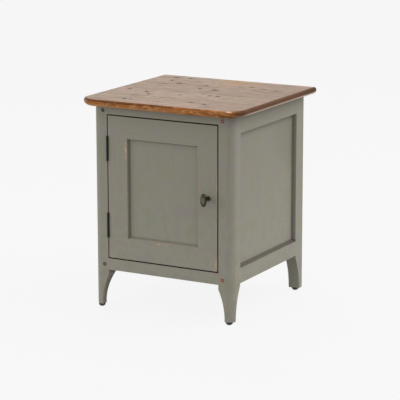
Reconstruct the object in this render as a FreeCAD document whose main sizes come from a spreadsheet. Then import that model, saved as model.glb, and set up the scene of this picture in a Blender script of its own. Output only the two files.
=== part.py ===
"""Painted side table with a cupboard door: corner posts with shaped legs, framed and panelled
sides, a framed door on butt hinges, and a solid wood top held by buttons.

Millimetres, +Z up. The origin is on the floor, under the centre of the table top. The door
faces -Y and its hinges are on the left, towards -X.
"""
import FreeCAD, Part
import math
import os

import Sketcher

Vector = FreeCAD.Vector
Rotation = FreeCAD.Rotation

# ---------------------------------------------------------------- driving sizes

SIZES = [
    # alias, value, what it is
    ("total_height", 550, "floor to the upper face of the top"),
    ("top_thickness", 18, "table top"),
    ("top_side_overhang", 29, "top past the carcass, left and right"),
    ("top_front_overhang", 32, "top past the carcass, front"),
    ("top_back_overhang", 16, "top past the carcass, back"),
    ("top_corner_radius", 50, "front corners of the top in plan"),
    ("top_nose_radius", 6, "rounding of the front and side edges of the top, upper face"),
    ("top_under_radius", 11.5, "rounding of the front and side edges of the top, lower face"),
    ("carcass_width", 404, "over the posts"),
    ("carcass_depth", 398, "over the posts"),
    ("front_post_width", 41, "front posts, left to right"),
    ("back_post_width", 30.5, "back posts, left to right"),
    ("post_depth", 40, "all posts, front to back"),
    ("post_round", 20.5, "rounding of the outer front corners"),
    ("leg_height", 102, "floor to the underside of the rails"),
    ("foot_width", 23, "front feet, left to right"),
    ("foot_depth", 17.5, "all feet, front to back"),
    ("foot_straight", 12, "height at which the curve of a leg starts"),
    ("front_shoulder", 12, "square part of a front leg under the rail"),
    ("side_shoulder", 6, "square part of a leg under a side rail"),
    ("foot_chamfer", 2, "bevel round the end of a foot"),
    ("rail_thickness", 20, "side and back rails"),
    ("top_rail_height", 45, "side and back rails under the top"),
    ("bottom_rail_height", 39, "side and back rails above the legs"),
    ("front_top_height", 22, "front rail under the top"),
    ("front_top_depth", 40, "front rail under the top, front to back"),
    ("front_bottom_height", 30.5, "front rail under the door"),
    ("front_bottom_depth", 22, "front rail under the door, front to back"),
    ("tenon_thickness", 6, "tenons of the framed rails, and the grooves in line with them"),
    ("front_tenon_length", 20, "tenons into the front posts from the front rails"),
    ("side_tenon_length", 18, "tenons of the side rails"),
    ("back_tenon_length", 12, "tenons of the back rails"),
    ("tenon_shoulder", 6, "shoulder at the outer edge of a framed rail"),
    ("front_tenon_shoulder", 2.5, "shoulders of the front rails"),
    ("joint_clearance", 0.1, "glue room beside a tenon, panel or peg"),
    ("tenon_end_gap", 1, "glue room past the end of a tenon"),
    ("groove_depth", 8, "panel grooves"),
    ("panel_gap", 1.5, "room for a panel to swell in its groove"),
    ("side_recess", 11, "side panels behind the face of their frames"),
    ("back_recess", 7, "back panel behind the face of its frame"),
    ("moulding_width", 5, "bead round a panel, where it meets the panel"),
    ("moulding_flat", 1, "flat of the bead at the face of the frame"),
    ("peg_radius", 5, "pegs of the front joints"),
    ("peg_length", 34, "pegs of the front joints"),
    ("peg_inset", 29.5, "peg centre from the side of the carcass"),
    ("peg_drop", 1.6, "peg centre below the middle of its rail"),
    ("peg_proud", 0.4, "peg past the face of the post"),
    ("door_gap", 2.8, "gap round the door"),
    ("door_thickness", 20, "door frame"),
    ("door_member_width", 55.2, "stiles and rails of the door"),
    ("door_recess", 8, "door panel behind the face of the door"),
    ("door_tenon_length", 30, "tenons of the door rails"),
    ("door_tenon_shoulder", 8, "shoulder at the outer edge of a door rail"),
    ("hinge_length", 64, "leaves of the butt hinges"),
    ("hinge_spacing", 201, "between the middles of the two hinges"),
    ("hinge_proud", 2.4, "pin centre in front of the face of the carcass"),
    ("knuckle_radius", 2.4, "barrel of the hinges"),
    ("knuckle_gap", 0.3, "between neighbouring knuckles"),
    ("pin_radius", 1.2, "hinge pins"),
    ("pin_head", 1.1, "bevelled ends of the hinge pins"),
    ("pin_head_radius", 2, "bevelled ends of the hinge pins"),
    ("pin_clearance", 0.05, "running fit of the hinge pins"),
    ("leaf_thickness", 1.5, "hinge leaves, let in flush"),
    ("leaf_width", 16, "hinge leaves behind the face of the carcass"),
    ("leaf_clearance", 0.1, "recess round a hinge leaf"),
    ("pilot_clearance", 0.05, "screw holes in wood"),
    ("hinge_screw_radius", 1.2, "hinge screws"),
    ("hinge_screw_head", 2.5, "hinge screws, head radius"),
    ("hinge_screw_length", 13, "hinge screws"),
    ("hinge_screw_pitch", 22, "between the screws of a leaf"),
    ("hinge_screw_setback", 9, "hinge screws behind the face of the carcass"),
    ("knob_edge", 25.7, "knob centre from the free edge of the door"),
    ("knob_reach", 24.5, "centre of the knob's head in front of the door"),
    ("knob_half_height", 16.5, "oval head"),
    ("knob_half_width", 8.6, "oval head"),
    ("knob_foot_radius", 6.2, "foot of the knob's stem on the door"),
    ("knob_foot_rim", 0.8, "straight rim of the foot of the stem"),
    ("knob_neck_radius", 3.4, "narrowest part of the stem"),
    ("knob_neck_reach", 12, "where the stem is at its narrowest, from the door"),
    ("bolt_radius", 2, "knob bolt"),
    ("bolt_grip", 9, "knob bolt inside the knob"),
    ("bolt_head_radius", 4.2, "knob bolt"),
    ("bolt_head_height", 2.4, "knob bolt"),
    ("bolt_head_rim", 1, "straight rim of the head of the knob bolt"),
    ("catch_width", 42, "magnetic catch, case"),
    ("catch_depth", 15, "magnetic catch, case"),
    ("catch_height", 13, "magnetic catch, case"),
    ("catch_centre", 136, "magnetic catch, right of the middle"),
    ("magnet_width", 26, "magnet in the catch"),
    ("magnet_height", 7, "magnet in the catch"),
    ("magnet_depth", 11.5, "magnet in the catch, front to back"),
    ("magnet_proud", 1, "magnet past its case"),
    ("strike_width", 32, "strike plate on the door"),
    ("strike_height", 7, "strike plate on the door"),
    ("strike_thickness", 1.5, "strike plate on the door"),
    ("strike_gap", 0.3, "strike plate to magnet, door shut"),
    ("catch_screw_radius", 1.4, "screws of the catch and its strike plate"),
    ("catch_screw_head", 2.8, "screws of the catch, head radius"),
    ("catch_screw_length", 22, "screws through the catch"),
    ("strike_screw_length", 11, "screws through the strike plate"),
    ("floor_thickness", 12, "floor of the cupboard"),
    ("floor_clearance", 0.5, "round the floor board"),
    ("floor_cleat", 18, "strips under the floor, square"),
    ("cleat_screw_radius", 1.7, "screws through the strips"),
    ("cleat_screw_head", 3.4, "screws through the strips, head radius"),
    ("cleat_screw_length", 32, "screws through the strips"),
    ("shelf_level", 318, "upper face of the shelf"),
    ("shelf_thickness", 16, "shelf"),
    ("shelf_clearance", 1, "round the shelf"),
    ("shelf_cleat_height", 20, "strips under the shelf"),
    ("shelf_cleat_gap", 0.3, "between such a strip and the side panel"),
    ("button_length", 26, "buttons that hold the top, behind their rail"),
    ("button_width", 26, "buttons"),
    ("button_tongue", 8, "tongue of a button and the groove it sits in"),
    ("button_clearance", 0.5, "above a tongue and past its end"),
    ("button_inset", 95, "buttons from the middle of a rail"),
    ("top_screw_radius", 2, "screws into the top"),
    ("top_screw_head", 4, "screws into the top, head radius"),
    ("top_screw_length", 34, "screws into the top"),
    ("front_screw_centre", 80, "screws through the front rail, from the middle"),
    ("glide_height", 6, "feet pads, floor to wood"),
    ("glide_radius", 8.7, "feet pads"),
    ("glide_inset", 14.5, "middle of a front pad from the outer side of its post"),
    ("glide_setback", 9.5, "middle of a front pad from the face of its post"),
    ("glide_floor_radius", 5.6, "flat of a feet pad on the floor"),
    ("spigot_radius", 3, "peg of a feet pad, in the leg"),
    ("spigot_length", 18, "peg of a feet pad, in the leg"),
]

KNUCKLES = 5  # of one hinge: the frame leaf has every other one, from the first
LEAF_SCREWS = 3  # in one hinge leaf
HEAD_FLAT = 0.6  # the flat of a bevelled head, as a share of its radius
SLOT_WIDTH = 0.3  # the slot or cross of a screw head, as a share of the head's radius
SLOT_DEPTH = 0.3
POINT_LENGTH = 2.5  # the point of a wood screw, as a share of its radius
CROSS_REACH = 0.55
OVAL_BANDS = 12  # turned bands of the knob's oval head, tip to tip
NEAR = 1e-4  # lengths that differ by less are equal
OVERRUN = 1  # how far a cut starts outside the wood

doc = FreeCAD.newDocument("SideTable")
sheet = doc.addObject("Spreadsheet::Sheet", "Sizes")
for row, (alias, amount, meaning) in enumerate(SIZES, start=1):
    sheet.set(f"A{row}", alias)
    sheet.set(f"B{row}", str(amount))
    sheet.set(f"C{row}", meaning)
    sheet.setAlias(f"B{row}", alias)
doc.recompute()


class Size:
    """A length as a formula on the sheet's cells, with its present value."""

    def __init__(self, text, value):
        self.text = text
        self.value = value

    def __add__(self, other):
        return combine(self, "+", other)

    def __radd__(self, other):
        return combine(other, "+", self)

    def __sub__(self, other):
        return combine(self, "-", other)

    def __rsub__(self, other):
        return combine(other, "-", self)

    def __mul__(self, other):
        return combine(self, "*", other)

    def __rmul__(self, other):
        return combine(other, "*", self)

    def __truediv__(self, other):
        return combine(self, "/", other)

    def __neg__(self):
        return Size(f"(-1 * {self.text})", -self.value)


def as_size(value):
    """A plain number as a Size; a Size as it is."""
    return value if isinstance(value, Size) else Size(repr(float(value)), float(value))


def combine(left, sign, right):
    """The Size of one sum, difference, product or quotient."""
    left, right = as_size(left), as_size(right)
    value = {
        "+": lambda: left.value + right.value,
        "-": lambda: left.value - right.value,
        "*": lambda: left.value * right.value,
        "/": lambda: left.value / right.value,
    }[sign]()
    return Size(f"({left.text} {sign} {right.text})", value)


def cell(alias):
    """The Size of one cell of the sheet."""
    return Size(f"Sizes.{alias}", float(sheet.get(alias)))


def bind(thing, prop, size):
    """Ties a property to a formula."""
    thing.setExpression(prop, as_size(size).text)


def place(thing, x=0, y=0, z=0, rotation=None):
    """Turns a piece, and ties its place to the sheet."""
    if rotation is not None:
        thing.Placement = FreeCAD.Placement(Vector(), rotation)
    for name, size in (("x", x), ("y", y), ("z", z)):
        bind(thing, f"Placement.Base.{name}", size)


# ---------------------------------------------------------------- drawing helpers

# For each direction of extrusion: the origin plane, the sketch's two axes, and whether the
# sketch's normal points along that direction (+1) or against it (-1).
PLANES = {"z": ("XY_Plane", 1), "y": ("XZ_Plane", -1), "x": ("YZ_Plane", 1)}


def new_body(label):
    """An empty body, whose label names the piece."""
    body = doc.addObject("PartDesign::Body", "Body_" + label)
    body.Label = label
    return body


def new_sketch(body, axis, level):
    """A sketch square to an axis of the body, at a level along that axis."""
    role, sense = PLANES[axis]
    sketch = body.newObject("Sketcher::SketchObject", "Sketch")
    plane = next(f for f in body.Origin.OriginFeatures if f.Role == role)
    sketch.AttachmentSupport = [(plane, "")]
    sketch.MapMode = "FlatFace"
    bind(sketch, "AttachmentOffset.Base.z", as_size(level) * sense)
    return sketch


def pin_point(sketch, element, point, u, v):
    """Ties a sketch point's two coordinates to the sheet."""
    for kind, size in (("DistanceX", as_size(u)), ("DistanceY", as_size(v))):
        if size.value == 0 and size.text == "0.0":
            axis = -2 if kind == "DistanceX" else -1
            sketch.addConstraint(Sketcher.Constraint("PointOnObject", element, point, axis))
        else:
            rule = Sketcher.Constraint(kind, -1, 1, element, point, size.value)
            bind(sketch, f"Constraints[{sketch.addConstraint(rule)}]", size)


def tangent_arc(start, end, heading):
    """The circle of the arc that leaves start along heading and ends at end, whether it turns
    left, and its heading at the end."""
    normal = Vector(-heading.y, heading.x, 0).normalize()
    chord = end - start
    radius = chord.dot(chord) / (2 * normal.dot(chord))
    centre = start + normal * radius
    spoke = end - centre
    turned = Vector(-spoke.y, spoke.x, 0) if radius > 0 else Vector(spoke.y, -spoke.x, 0)
    return Part.Circle(centre, Vector(0, 0, 1), abs(radius)), radius > 0, turned


def draw_outline(sketch, corners):
    """A closed outline through corners (u, v). A third entry makes the edge from that corner
    to the next an arc: "leaving" is tangent to the edge before it, and "arriving" to the
    straight edge after it. The last edge is straight."""
    points = [Vector(as_size(c[0]).value, as_size(c[1]).value, 0) for c in corners]
    kinds = [corner[2] if len(corner) > 2 else "straight" for corner in corners]
    count = len(corners)
    heading = points[0] - points[-1]
    ends = []  # the (start, end) point numbers of each edge in the direction of travel
    for i, kind in enumerate(kinds):
        here, there = points[i], points[(i + 1) % count]
        if kind == "straight":
            sketch.addGeometry(Part.LineSegment(here, there), False)
            ends.append((1, 2))
            heading = there - here
            continue
        if kind == "leaving":
            circle, left_turn, heading = tangent_arc(here, there, heading)
        else:
            heading = points[(i + 2) % count] - there
            circle, right_turn, _ = tangent_arc(there, here, heading * -1)
            left_turn = not right_turn
        first, last = (here, there) if left_turn else (there, here)
        start, end = circle.parameter(first), circle.parameter(last)
        if end < start:
            end += 2 * math.pi
        sketch.addGeometry(Part.ArcOfCircle(circle, start, end), False)
        ends.append((1, 2) if left_turn else (2, 1))
    for i, corner in enumerate(corners):
        smooth = kinds[i] == "leaving" or kinds[i - 1] == "arriving"
        before = (i - 1) % count
        kind = "Tangent" if smooth else "Coincident"
        joined = Sketcher.Constraint(kind, before, ends[before][1], i, ends[i][0])
        sketch.addConstraint(joined)
        pin_point(sketch, i, ends[i][0], corner[0], corner[1])


def draw_rectangle(sketch, u, v):
    """A rectangle between two lengths on each axis of the sketch."""
    draw_outline(sketch, [(u[0], v[0]), (u[1], v[0]), (u[1], v[1]), (u[0], v[1])])


def draw_circles(sketch, centres, radius):
    """Equal circles about a list of centres (u, v)."""
    for u, v in centres:
        middle = Vector(as_size(u).value, as_size(v).value, 0)
        circle = Part.Circle(middle, Vector(0, 0, 1), as_size(radius).value)
        index = sketch.addGeometry(circle, False)
        rule = Sketcher.Constraint("Radius", index, as_size(radius).value)
        bind(sketch, f"Constraints[{sketch.addConstraint(rule)}]", radius)
        pin_point(sketch, index, 3, u, v)


def add(body, axis, span, draw, *shape):
    """Pads what draw makes in a sketch, over a span along an axis."""
    sketch = new_sketch(body, axis, span[0])
    draw(sketch, *shape)
    pad = body.newObject("PartDesign::Pad", "Pad")
    pad.Profile = sketch
    pad.Reversed = PLANES[axis][1] < 0
    bind(pad, "Length", as_size(span[1]) - span[0])
    return pad


def cut(body, axis, span, draw, *shape):
    """Pockets what draw makes in a sketch, over a span along an axis."""
    sketch = new_sketch(body, axis, span[0])
    draw(sketch, *shape)
    pocket = body.newObject("PartDesign::Pocket", "Pocket")
    pocket.Profile = sketch
    pocket.Reversed = PLANES[axis][1] > 0
    bind(pocket, "Length", as_size(span[1]) - span[0])
    return pocket


def revolve(body, axis, corners, level=0):
    """Turns an outline (u, v) about the sketch's upright axis, in the plane square to axis."""
    sketch = new_sketch(body, axis, level)
    draw_outline(sketch, corners)
    turned = body.newObject("PartDesign::Revolution", "Revolution")
    turned.Profile = sketch
    turned.ReferenceAxis = (sketch, ["V_Axis"])
    turned.Angle = 360
    return turned


def repeat(body, feature, pitch, count):
    """Repeats a feature upwards along Z."""
    pattern = body.newObject("PartDesign::LinearPattern", "Pattern")
    pattern.Originals = [feature]
    axis = next(f for f in body.Origin.OriginFeatures if f.Role == "Z_Axis")
    pattern.Direction = (axis, [""])
    bind(pattern, "Length", as_size(pitch) * (count - 1))
    pattern.Occurrences = count
    body.Tip = pattern
    return pattern


def countersink(body, axis, level, centres, radius, head_radius, forward):
    """Countersunk holes for screws, right through, from a level along an axis or back."""
    sketch = new_sketch(body, axis, level)
    draw_circles(sketch, centres, radius)
    doc.recompute()
    hole = body.newObject("PartDesign::Hole", "Hole")
    hole.Profile = sketch
    doc.recompute()
    hole.Threaded = False
    hole.HoleCutType = "Countersink"
    hole.HoleCutCustomValues = True
    hole.DepthType = "ThroughAll"
    hole.Reversed = forward == (PLANES[axis][1] > 0)
    bind(hole, "Diameter", as_size(radius) * 2)
    bind(hole, "HoleCutDiameter", as_size(head_radius) * 2)
    hole.HoleCutCountersinkAngle = 90
    return hole


def edges_where(body, test):
    """The names of the edges of a body whose list of end points passes a test."""
    doc.recompute()
    return [
        f"Edge{number}"
        for number, edge in enumerate(body.Tip.Shape.Edges, start=1)
        if test([vertex.Point for vertex in edge.Vertexes])
    ]


def lie_at(ends, level):
    """Whether an edge's end points all lie at a level along Z."""
    return all(abs(end.z - level.value) < NEAR for end in ends)


def soften(body, kind, names, size):
    """Fillets or chamfers the named edges of the body's last feature."""
    base = body.Tip
    feature = body.newObject(f"PartDesign::{kind}", kind)
    feature.Base = (base, names)
    bind(feature, "Radius" if kind == "Fillet" else "Size", size)
    return feature


def group(label, members):
    """One node of several equal or like pieces."""
    compound = doc.addObject("Part::Compound", "Group_" + label)
    compound.Label = label
    compound.Links = members
    return compound


def copy_of(master, x=0, y=0, z=0, rotation=None):
    """A linked copy of a piece in another place."""
    link = doc.addObject("App::Link", "Copy")
    link.LinkedObject = master
    place(link, x, y, z, rotation)
    return link


nodes = []  # every piece or group that is written out


def keep(node):
    """Lists a piece for writing out."""
    nodes.append(node)
    return node


# ---------------------------------------------------------------- places worked out once

clear = cell("joint_clearance")
half_width = cell("carcass_width") / 2
front = (cell("top_front_overhang") - cell("top_back_overhang") - cell("carcass_depth")) / 2
back = front + cell("carcass_depth")
middle_y = (front + back) / 2
under_top = cell("total_height") - cell("top_thickness")
rail_bottom = cell("leg_height")

front_post_inner = half_width - cell("front_post_width")  # x
back_post_inner = half_width - cell("back_post_width")  # x
front_post_back = front + cell("post_depth")  # y
back_post_front = back - cell("post_depth")  # y
side_opening = back_post_front - front_post_back
back_opening = back_post_inner * 2

top_rail_low = under_top - cell("top_rail_height")
bottom_rail_high = rail_bottom + cell("bottom_rail_height")
side_panel_outer = half_width - cell("side_recess")  # x
side_panel_inner = side_panel_outer - cell("tenon_thickness")  # x
side_rail_inner = half_width - cell("rail_thickness")  # x
back_panel_outer = back - cell("back_recess")  # y
back_panel_inner = back_panel_outer - cell("tenon_thickness")  # y
back_rail_inner = back - cell("rail_thickness")  # y

opening_low = rail_bottom + cell("front_bottom_height")
opening_high = under_top - cell("front_top_height")
door_low = opening_low + cell("door_gap")
door_high = opening_high - cell("door_gap")
door_height = door_high - door_low
door_middle = (door_low + door_high) / 2
door_half = front_post_inner - cell("door_gap")
door_back = front + cell("door_thickness")
sight_half = door_half - cell("door_member_width")
peg_x = half_width - cell("peg_inset")
peg_low_z = rail_bottom + cell("front_bottom_height") / 2 - cell("peg_drop")
peg_high_z = under_top - cell("front_top_height") / 2 - cell("peg_drop")

hinge_x = -(front_post_inner - cell("door_gap") / 2)
hinge_y = front - cell("hinge_proud")
hinge_levels = {
    "upper": door_middle + cell("hinge_spacing") / 2,
    "lower": door_middle - cell("hinge_spacing") / 2,
}
leaf_inner = cell("door_gap") / 2  # from the pin centre
leaf_outer = leaf_inner + cell("leaf_thickness")
leaf_screw_y = cell("hinge_proud") + cell("hinge_screw_setback")  # from the pin centre

TO_RIGHT = Rotation(Vector(0, 1, 0), 90)  # +Z of a screw turned to +X
TO_LEFT = Rotation(Vector(0, 1, 0), -90)
DOWNWARDS = Rotation(Vector(1, 0, 0), 180)
BACKWARDS = Rotation(Vector(1, 0, 0), -90)  # +Z of a screw turned to +Y
FLIPPED = Rotation(Vector(0, 1, 0), 180)  # upside down, same side outwards
ON_RIGHT = Rotation(Vector(0, 0, 1), 90)  # inward +Y turned to -X
ON_LEFT = Rotation(Vector(0, 0, 1), -90)
ON_BACK = Rotation(Vector(0, 0, 1), 180)


def mirrored(side, low, high):
    """A span on the right (side 1), or its mirror image on the left (side -1)."""
    return (low, high) if side > 0 else (-as_size(high), -as_size(low))


# ---------------------------------------------------------------- posts

def cut_leg(body, axis, span, face, foot, shoulder):
    """Cuts the waste beside a leg, seen along an axis: up the foot's inner side, then an arc out
    to the inner face of the post, which it meets a shoulder below the rail."""
    below = cell("glide_height") - OVERRUN
    waste = [
        (face, below),
        (foot, below),
        (foot, cell("foot_straight"), "leaving"),
        (face, rail_bottom - shoulder),
    ]
    cut(body, axis, span, draw_outline, waste)


def side_joints(body, side, face, into):
    """Mortises and the panel groove for one side frame, in a post's face towards the other post.
    into is +1 where the wood lies at larger y, -1 where it lies at smaller y."""
    across = mirrored(side, side_panel_inner - clear, side_panel_outer + clear)

    def depth(reach):
        return (face, face + reach) if into > 0 else (face - reach, face)

    groove = depth(cell("groove_depth"))
    upright = (bottom_rail_high - cell("groove_depth"), top_rail_low + cell("groove_depth"))
    cut(body, "y", groove, draw_rectangle, across, upright)
    reach = depth(cell("side_tenon_length") + cell("tenon_end_gap"))
    for low, high in framed_tenon_levels():
        cut(body, "y", reach, draw_rectangle, across, (low - clear, high + clear))


def framed_tenon_levels():
    """Lower and upper ends of the tenons of the framed bottom and top rails."""
    return [
        (rail_bottom + cell("tenon_shoulder"), bottom_rail_high - cell("groove_depth")),
        (top_rail_low + cell("groove_depth"), under_top - cell("tenon_shoulder")),
    ]


def front_post(side):
    """A front post: rounded outside, curved inwards on both inner sides down to the foot."""
    body = new_body("front_right_post" if side > 0 else "front_left_post")
    outer, inner = side * half_width, side * front_post_inner
    round_x = side * (half_width - cell("post_round"))
    section = [
        (inner, front),
        (round_x, front, "leaving"),
        (outer, front + cell("post_round")),
        (outer, front_post_back),
        (inner, front_post_back),
    ]
    add(body, "z", (cell("glide_height"), under_top), draw_outline, section)
    foot_x = side * (half_width - cell("foot_width"))
    whole_depth = (front - OVERRUN, front_post_back + OVERRUN)
    cut_leg(body, "y", whole_depth, inner, foot_x, cell("front_shoulder"))
    whole_width = mirrored(side, front_post_inner - OVERRUN, half_width + OVERRUN)
    foot_y = front + cell("foot_depth")
    cut_leg(body, "x", whole_width, front_post_back, foot_y, cell("side_shoulder"))
    side_joints(body, side, front_post_back, -1)
    reach = cell("front_tenon_length") + cell("tenon_end_gap")
    across = mirrored(side, front_post_inner, front_post_inner + reach)
    for deep, tall in front_tenons():
        mortise = ((deep[0] - clear, deep[1] + clear), (tall[0] - clear, tall[1] + clear))
        cut(body, "x", across, draw_rectangle, *mortise)
    pegs = [(side * peg_x, peg_low_z), (side * peg_x, peg_high_z)]
    peg_hole = (front, front + cell("peg_length") + clear)
    cut(body, "y", peg_hole, draw_circles, pegs, cell("peg_radius") + clear)
    return body


def front_tenons():
    """Depth span and height span of the tenons of the front bottom and top rails."""
    edge = cell("front_tenon_shoulder")
    inset = cell("tenon_shoulder")
    return [
        (
            (front + inset, front + cell("front_bottom_depth") - inset),
            (rail_bottom + edge, opening_low - edge),
        ),
        (
            (front + inset, front + cell("front_top_depth") - inset),
            (opening_high + edge, under_top - edge),
        ),
    ]


def back_post(side):
    """A back post: square outside, curved only towards the front."""
    body = new_body("back_right_post" if side > 0 else "back_left_post")
    across = mirrored(side, back_post_inner, half_width)
    section = (across, (back_post_front, back))
    add(body, "z", (cell("glide_height"), under_top), draw_rectangle, *section)
    whole_width = mirrored(side, back_post_inner - OVERRUN, half_width + OVERRUN)
    foot_y = back - cell("foot_depth")
    cut_leg(body, "x", whole_width, back_post_front, foot_y, cell("side_shoulder"))
    side_joints(body, side, back_post_front, 1)
    deep = (back_panel_inner - clear, back_panel_outer + clear)
    groove = mirrored(side, back_post_inner, back_post_inner + cell("groove_depth"))
    upright = (bottom_rail_high - cell("groove_depth"), top_rail_low + cell("groove_depth"))
    cut(body, "x", groove, draw_rectangle, deep, upright)
    reach = cell("back_tenon_length") + cell("tenon_end_gap")
    mortise = mirrored(side, back_post_inner, back_post_inner + reach)
    for low, high in framed_tenon_levels():
        cut(body, "x", mortise, draw_rectangle, deep, (low - clear, high + clear))
    return body


def finish_foot(body, x, y):
    """The hole for the pad's peg, and the bevel round the end of the foot."""
    floor = cell("glide_height")
    rim = edges_where(body, lambda ends: all(abs(end.z - floor.value) < NEAR for end in ends))
    soften(body, "Chamfer", rim, cell("foot_chamfer"))
    high = floor + cell("spigot_length") + cell("tenon_end_gap")
    cut(body, "z", (floor, high), draw_circles, [(x, y)], cell("spigot_radius") + clear)


posts = {}
for side, hand in ((1, "right"), (-1, "left")):
    posts["front", hand] = keep(front_post(side))
    posts["back", hand] = keep(back_post(side))

foot_centres = {
    "front": (half_width - cell("glide_inset"), front + cell("glide_setback")),
    "back": (half_width - cell("back_post_width") / 2, back - cell("foot_depth") / 2),
}


def leaf_screw_heights(level):
    """The heights of the screws of a hinge leaf, about its middle."""
    middle = (LEAF_SCREWS - 1) / 2
    return [level + cell("hinge_screw_pitch") * (step - middle) for step in range(LEAF_SCREWS)]


# The left front post carries the hinges.
leaf_tall = cell("hinge_length") / 2 + cell("leaf_clearance")
let_in = cell("leaf_thickness")
hinge_pilot = cell("hinge_screw_radius") + cell("pilot_clearance")
frame_screws = []
for level in hinge_levels.values():
    leaf_deep = (front - OVERRUN, front + cell("leaf_width") + cell("leaf_clearance"))
    leaf_span = (level - leaf_tall, level + leaf_tall)
    recess = (-front_post_inner - let_in, -front_post_inner + OVERRUN)
    cut(posts["front", "left"], "x", recess, draw_rectangle, leaf_deep, leaf_span)
    frame_screws += [(hinge_y + leaf_screw_y, height) for height in leaf_screw_heights(level)]
pilot_deep = -front_post_inner - cell("hinge_screw_length") - cell("tenon_end_gap")
pilot_span = (pilot_deep, -front_post_inner)
cut(posts["front", "left"], "x", pilot_span, draw_circles, frame_screws, hinge_pilot)

for (end, hand), post in posts.items():
    side = 1 if hand == "right" else -1
    foot_x, foot_y = foot_centres[end]
    finish_foot(post, side * foot_x, foot_y)


# ---------------------------------------------------------------- framed rails

def framed_rail(label, length, height, thickness, recess, tenon_length, shoulder):
    """A rail with a panel groove in its upper edge and a tenon at each end, drawn about its own
    middle: X along it, Y inwards from its face, Z up from its outer edge."""
    body = new_body(label)
    half = as_size(length) / 2
    add(body, "y", (0, thickness), draw_rectangle, (-half, half), (0, height))
    tenon = (as_size(recess), as_size(recess) + cell("tenon_thickness"))
    high = as_size(height) - cell("groove_depth")
    reach = half + tenon_length
    add(body, "y", tenon, draw_rectangle, (-reach, reach), (shoulder, high))
    groove = (tenon[0] - clear, tenon[1] + clear)
    cut(body, "x", (-half, half), draw_rectangle, groove, (high, height))
    return body


def cut_button_groove(body, length):
    """The groove for the buttons, inside a rail that is drawn upside down under the top."""
    half = as_size(length) / 2
    low = cell("front_top_height") - cell("button_tongue") - cell("button_clearance")
    high = cell("front_top_height")
    deep = cell("rail_thickness") - cell("button_tongue") - cell("button_clearance")
    inside = (deep, cell("rail_thickness"))
    cut(body, "x", (-half, half), draw_rectangle, inside, (low, high))


side_rails = (side_opening, cell("rail_thickness"), cell("side_recess"), cell("side_tenon_length"))
back_rails = (back_opening, cell("rail_thickness"), cell("back_recess"), cell("back_tenon_length"))
for name, sizes, turn, x, y in (
    ("right", side_rails, ON_RIGHT, half_width, middle_y),
    ("left", side_rails, ON_LEFT, -half_width, middle_y),
    ("back", back_rails, ON_BACK, 0, back),
):
    length, thickness, recess, tenon_length = sizes
    rest = (thickness, recess, tenon_length, cell("tenon_shoulder"))
    low_rail = framed_rail(f"{name}_bottom_rail", length, cell("bottom_rail_height"), *rest)
    place(low_rail, x, y, rail_bottom, turn)
    high_rail = framed_rail(f"{name}_top_rail", length, cell("top_rail_height"), *rest)
    cut_button_groove(high_rail, length)
    place(high_rail, x, y, under_top, turn.multiply(FLIPPED))
    keep(low_rail)
    keep(high_rail)


# ---------------------------------------------------------------- front rails

def front_rail(label, depth, span, tenon, peg_z):
    """A front rail between the front posts, with a pegged tenon at each end."""
    body = new_body(label)
    across = (-front_post_inner, front_post_inner)
    add(body, "z", span, draw_rectangle, across, (front, front + depth))
    deep, tall = tenon
    reach = front_post_inner + cell("front_tenon_length")
    add(body, "z", tall, draw_rectangle, (-reach, reach), deep)
    pegs = [(-peg_x, peg_z), (peg_x, peg_z)]
    cut(body, "y", deep, draw_circles, pegs, cell("peg_radius") + clear)
    return body


bottom_tenon, top_tenon = front_tenons()
bottom_span = (rail_bottom, opening_low)
top_span = (opening_high, under_top)
bottom_depth, top_depth = cell("front_bottom_depth"), cell("front_top_depth")
front_bottom = front_rail(
    "front_bottom_rail", bottom_depth, bottom_span, bottom_tenon, peg_low_z
)
front_top = front_rail("front_top_rail", top_depth, top_span, top_tenon, peg_high_z)
keep(front_bottom)
keep(front_top)

peg = new_body("peg")
peg_span = (-cell("peg_proud"), cell("peg_length"))
add(peg, "y", peg_span, draw_circles, [(0, 0)], cell("peg_radius"))
peg_places = [(side * peg_x, z) for z in (peg_low_z, peg_high_z) for side in (-1, 1)]
keep(group("joint_pegs", [copy_of(peg, x, front, z) for x, z in peg_places]))


# ---------------------------------------------------------------- panels and their beads

def board(label, x, y, z):
    """A plain board between two places on each axis."""
    body = new_body(label)
    add(body, "z", z, draw_rectangle, x, y)
    return body


in_groove = cell("groove_depth") - cell("panel_gap")
panel_levels = (bottom_rail_high - cell("groove_depth"), top_rail_low + in_groove)
panel_depths = (front_post_back - in_groove, back_post_front + in_groove)
for side, hand in ((1, "right"), (-1, "left")):
    across = mirrored(side, side_panel_inner, side_panel_outer)
    keep(board(f"{hand}_side_panel", across, panel_depths, panel_levels))
panel_reach = back_post_inner + in_groove
back_deep = (back_panel_inner, back_panel_outer)
keep(board("back_panel", (-panel_reach, panel_reach), back_deep, panel_levels))


def bead_strip(label, length, depth):
    """One mitred strip of bead: X along it, Y from the face of the frame in to the panel, and Z
    from the frame's edge out over the panel."""
    body = new_body(label)
    half, width = as_size(length) / 2, cell("moulding_width")
    plan = [(-half, 0), (half, 0), (half - width, width), (width - half, width)]
    add(body, "y", (0, depth), draw_outline, plan)
    waste = [(0, cell("moulding_flat")), (depth, width), (0, width)]
    cut(body, "x", (-half, half), draw_outline, waste)
    return body


def bead_ring(label, width, height, depth):
    """Four mitred strips round an opening, drawn about its middle."""
    level = bead_strip(label + "_across", width, depth)
    upright = bead_strip(label + "_upright", height, depth)
    turn = {angle: Rotation(Vector(0, 1, 0), angle) for angle in (0, 90, 180, -90)}
    half_w, half_h = as_size(width) / 2, as_size(height) / 2
    return group(
        label,
        [
            copy_of(level, 0, 0, -half_h, turn[0]),
            copy_of(upright, half_w, 0, 0, turn[-90]),
            copy_of(level, 0, 0, half_h, turn[180]),
            copy_of(upright, -half_w, 0, 0, turn[90]),
        ],
    )


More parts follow.
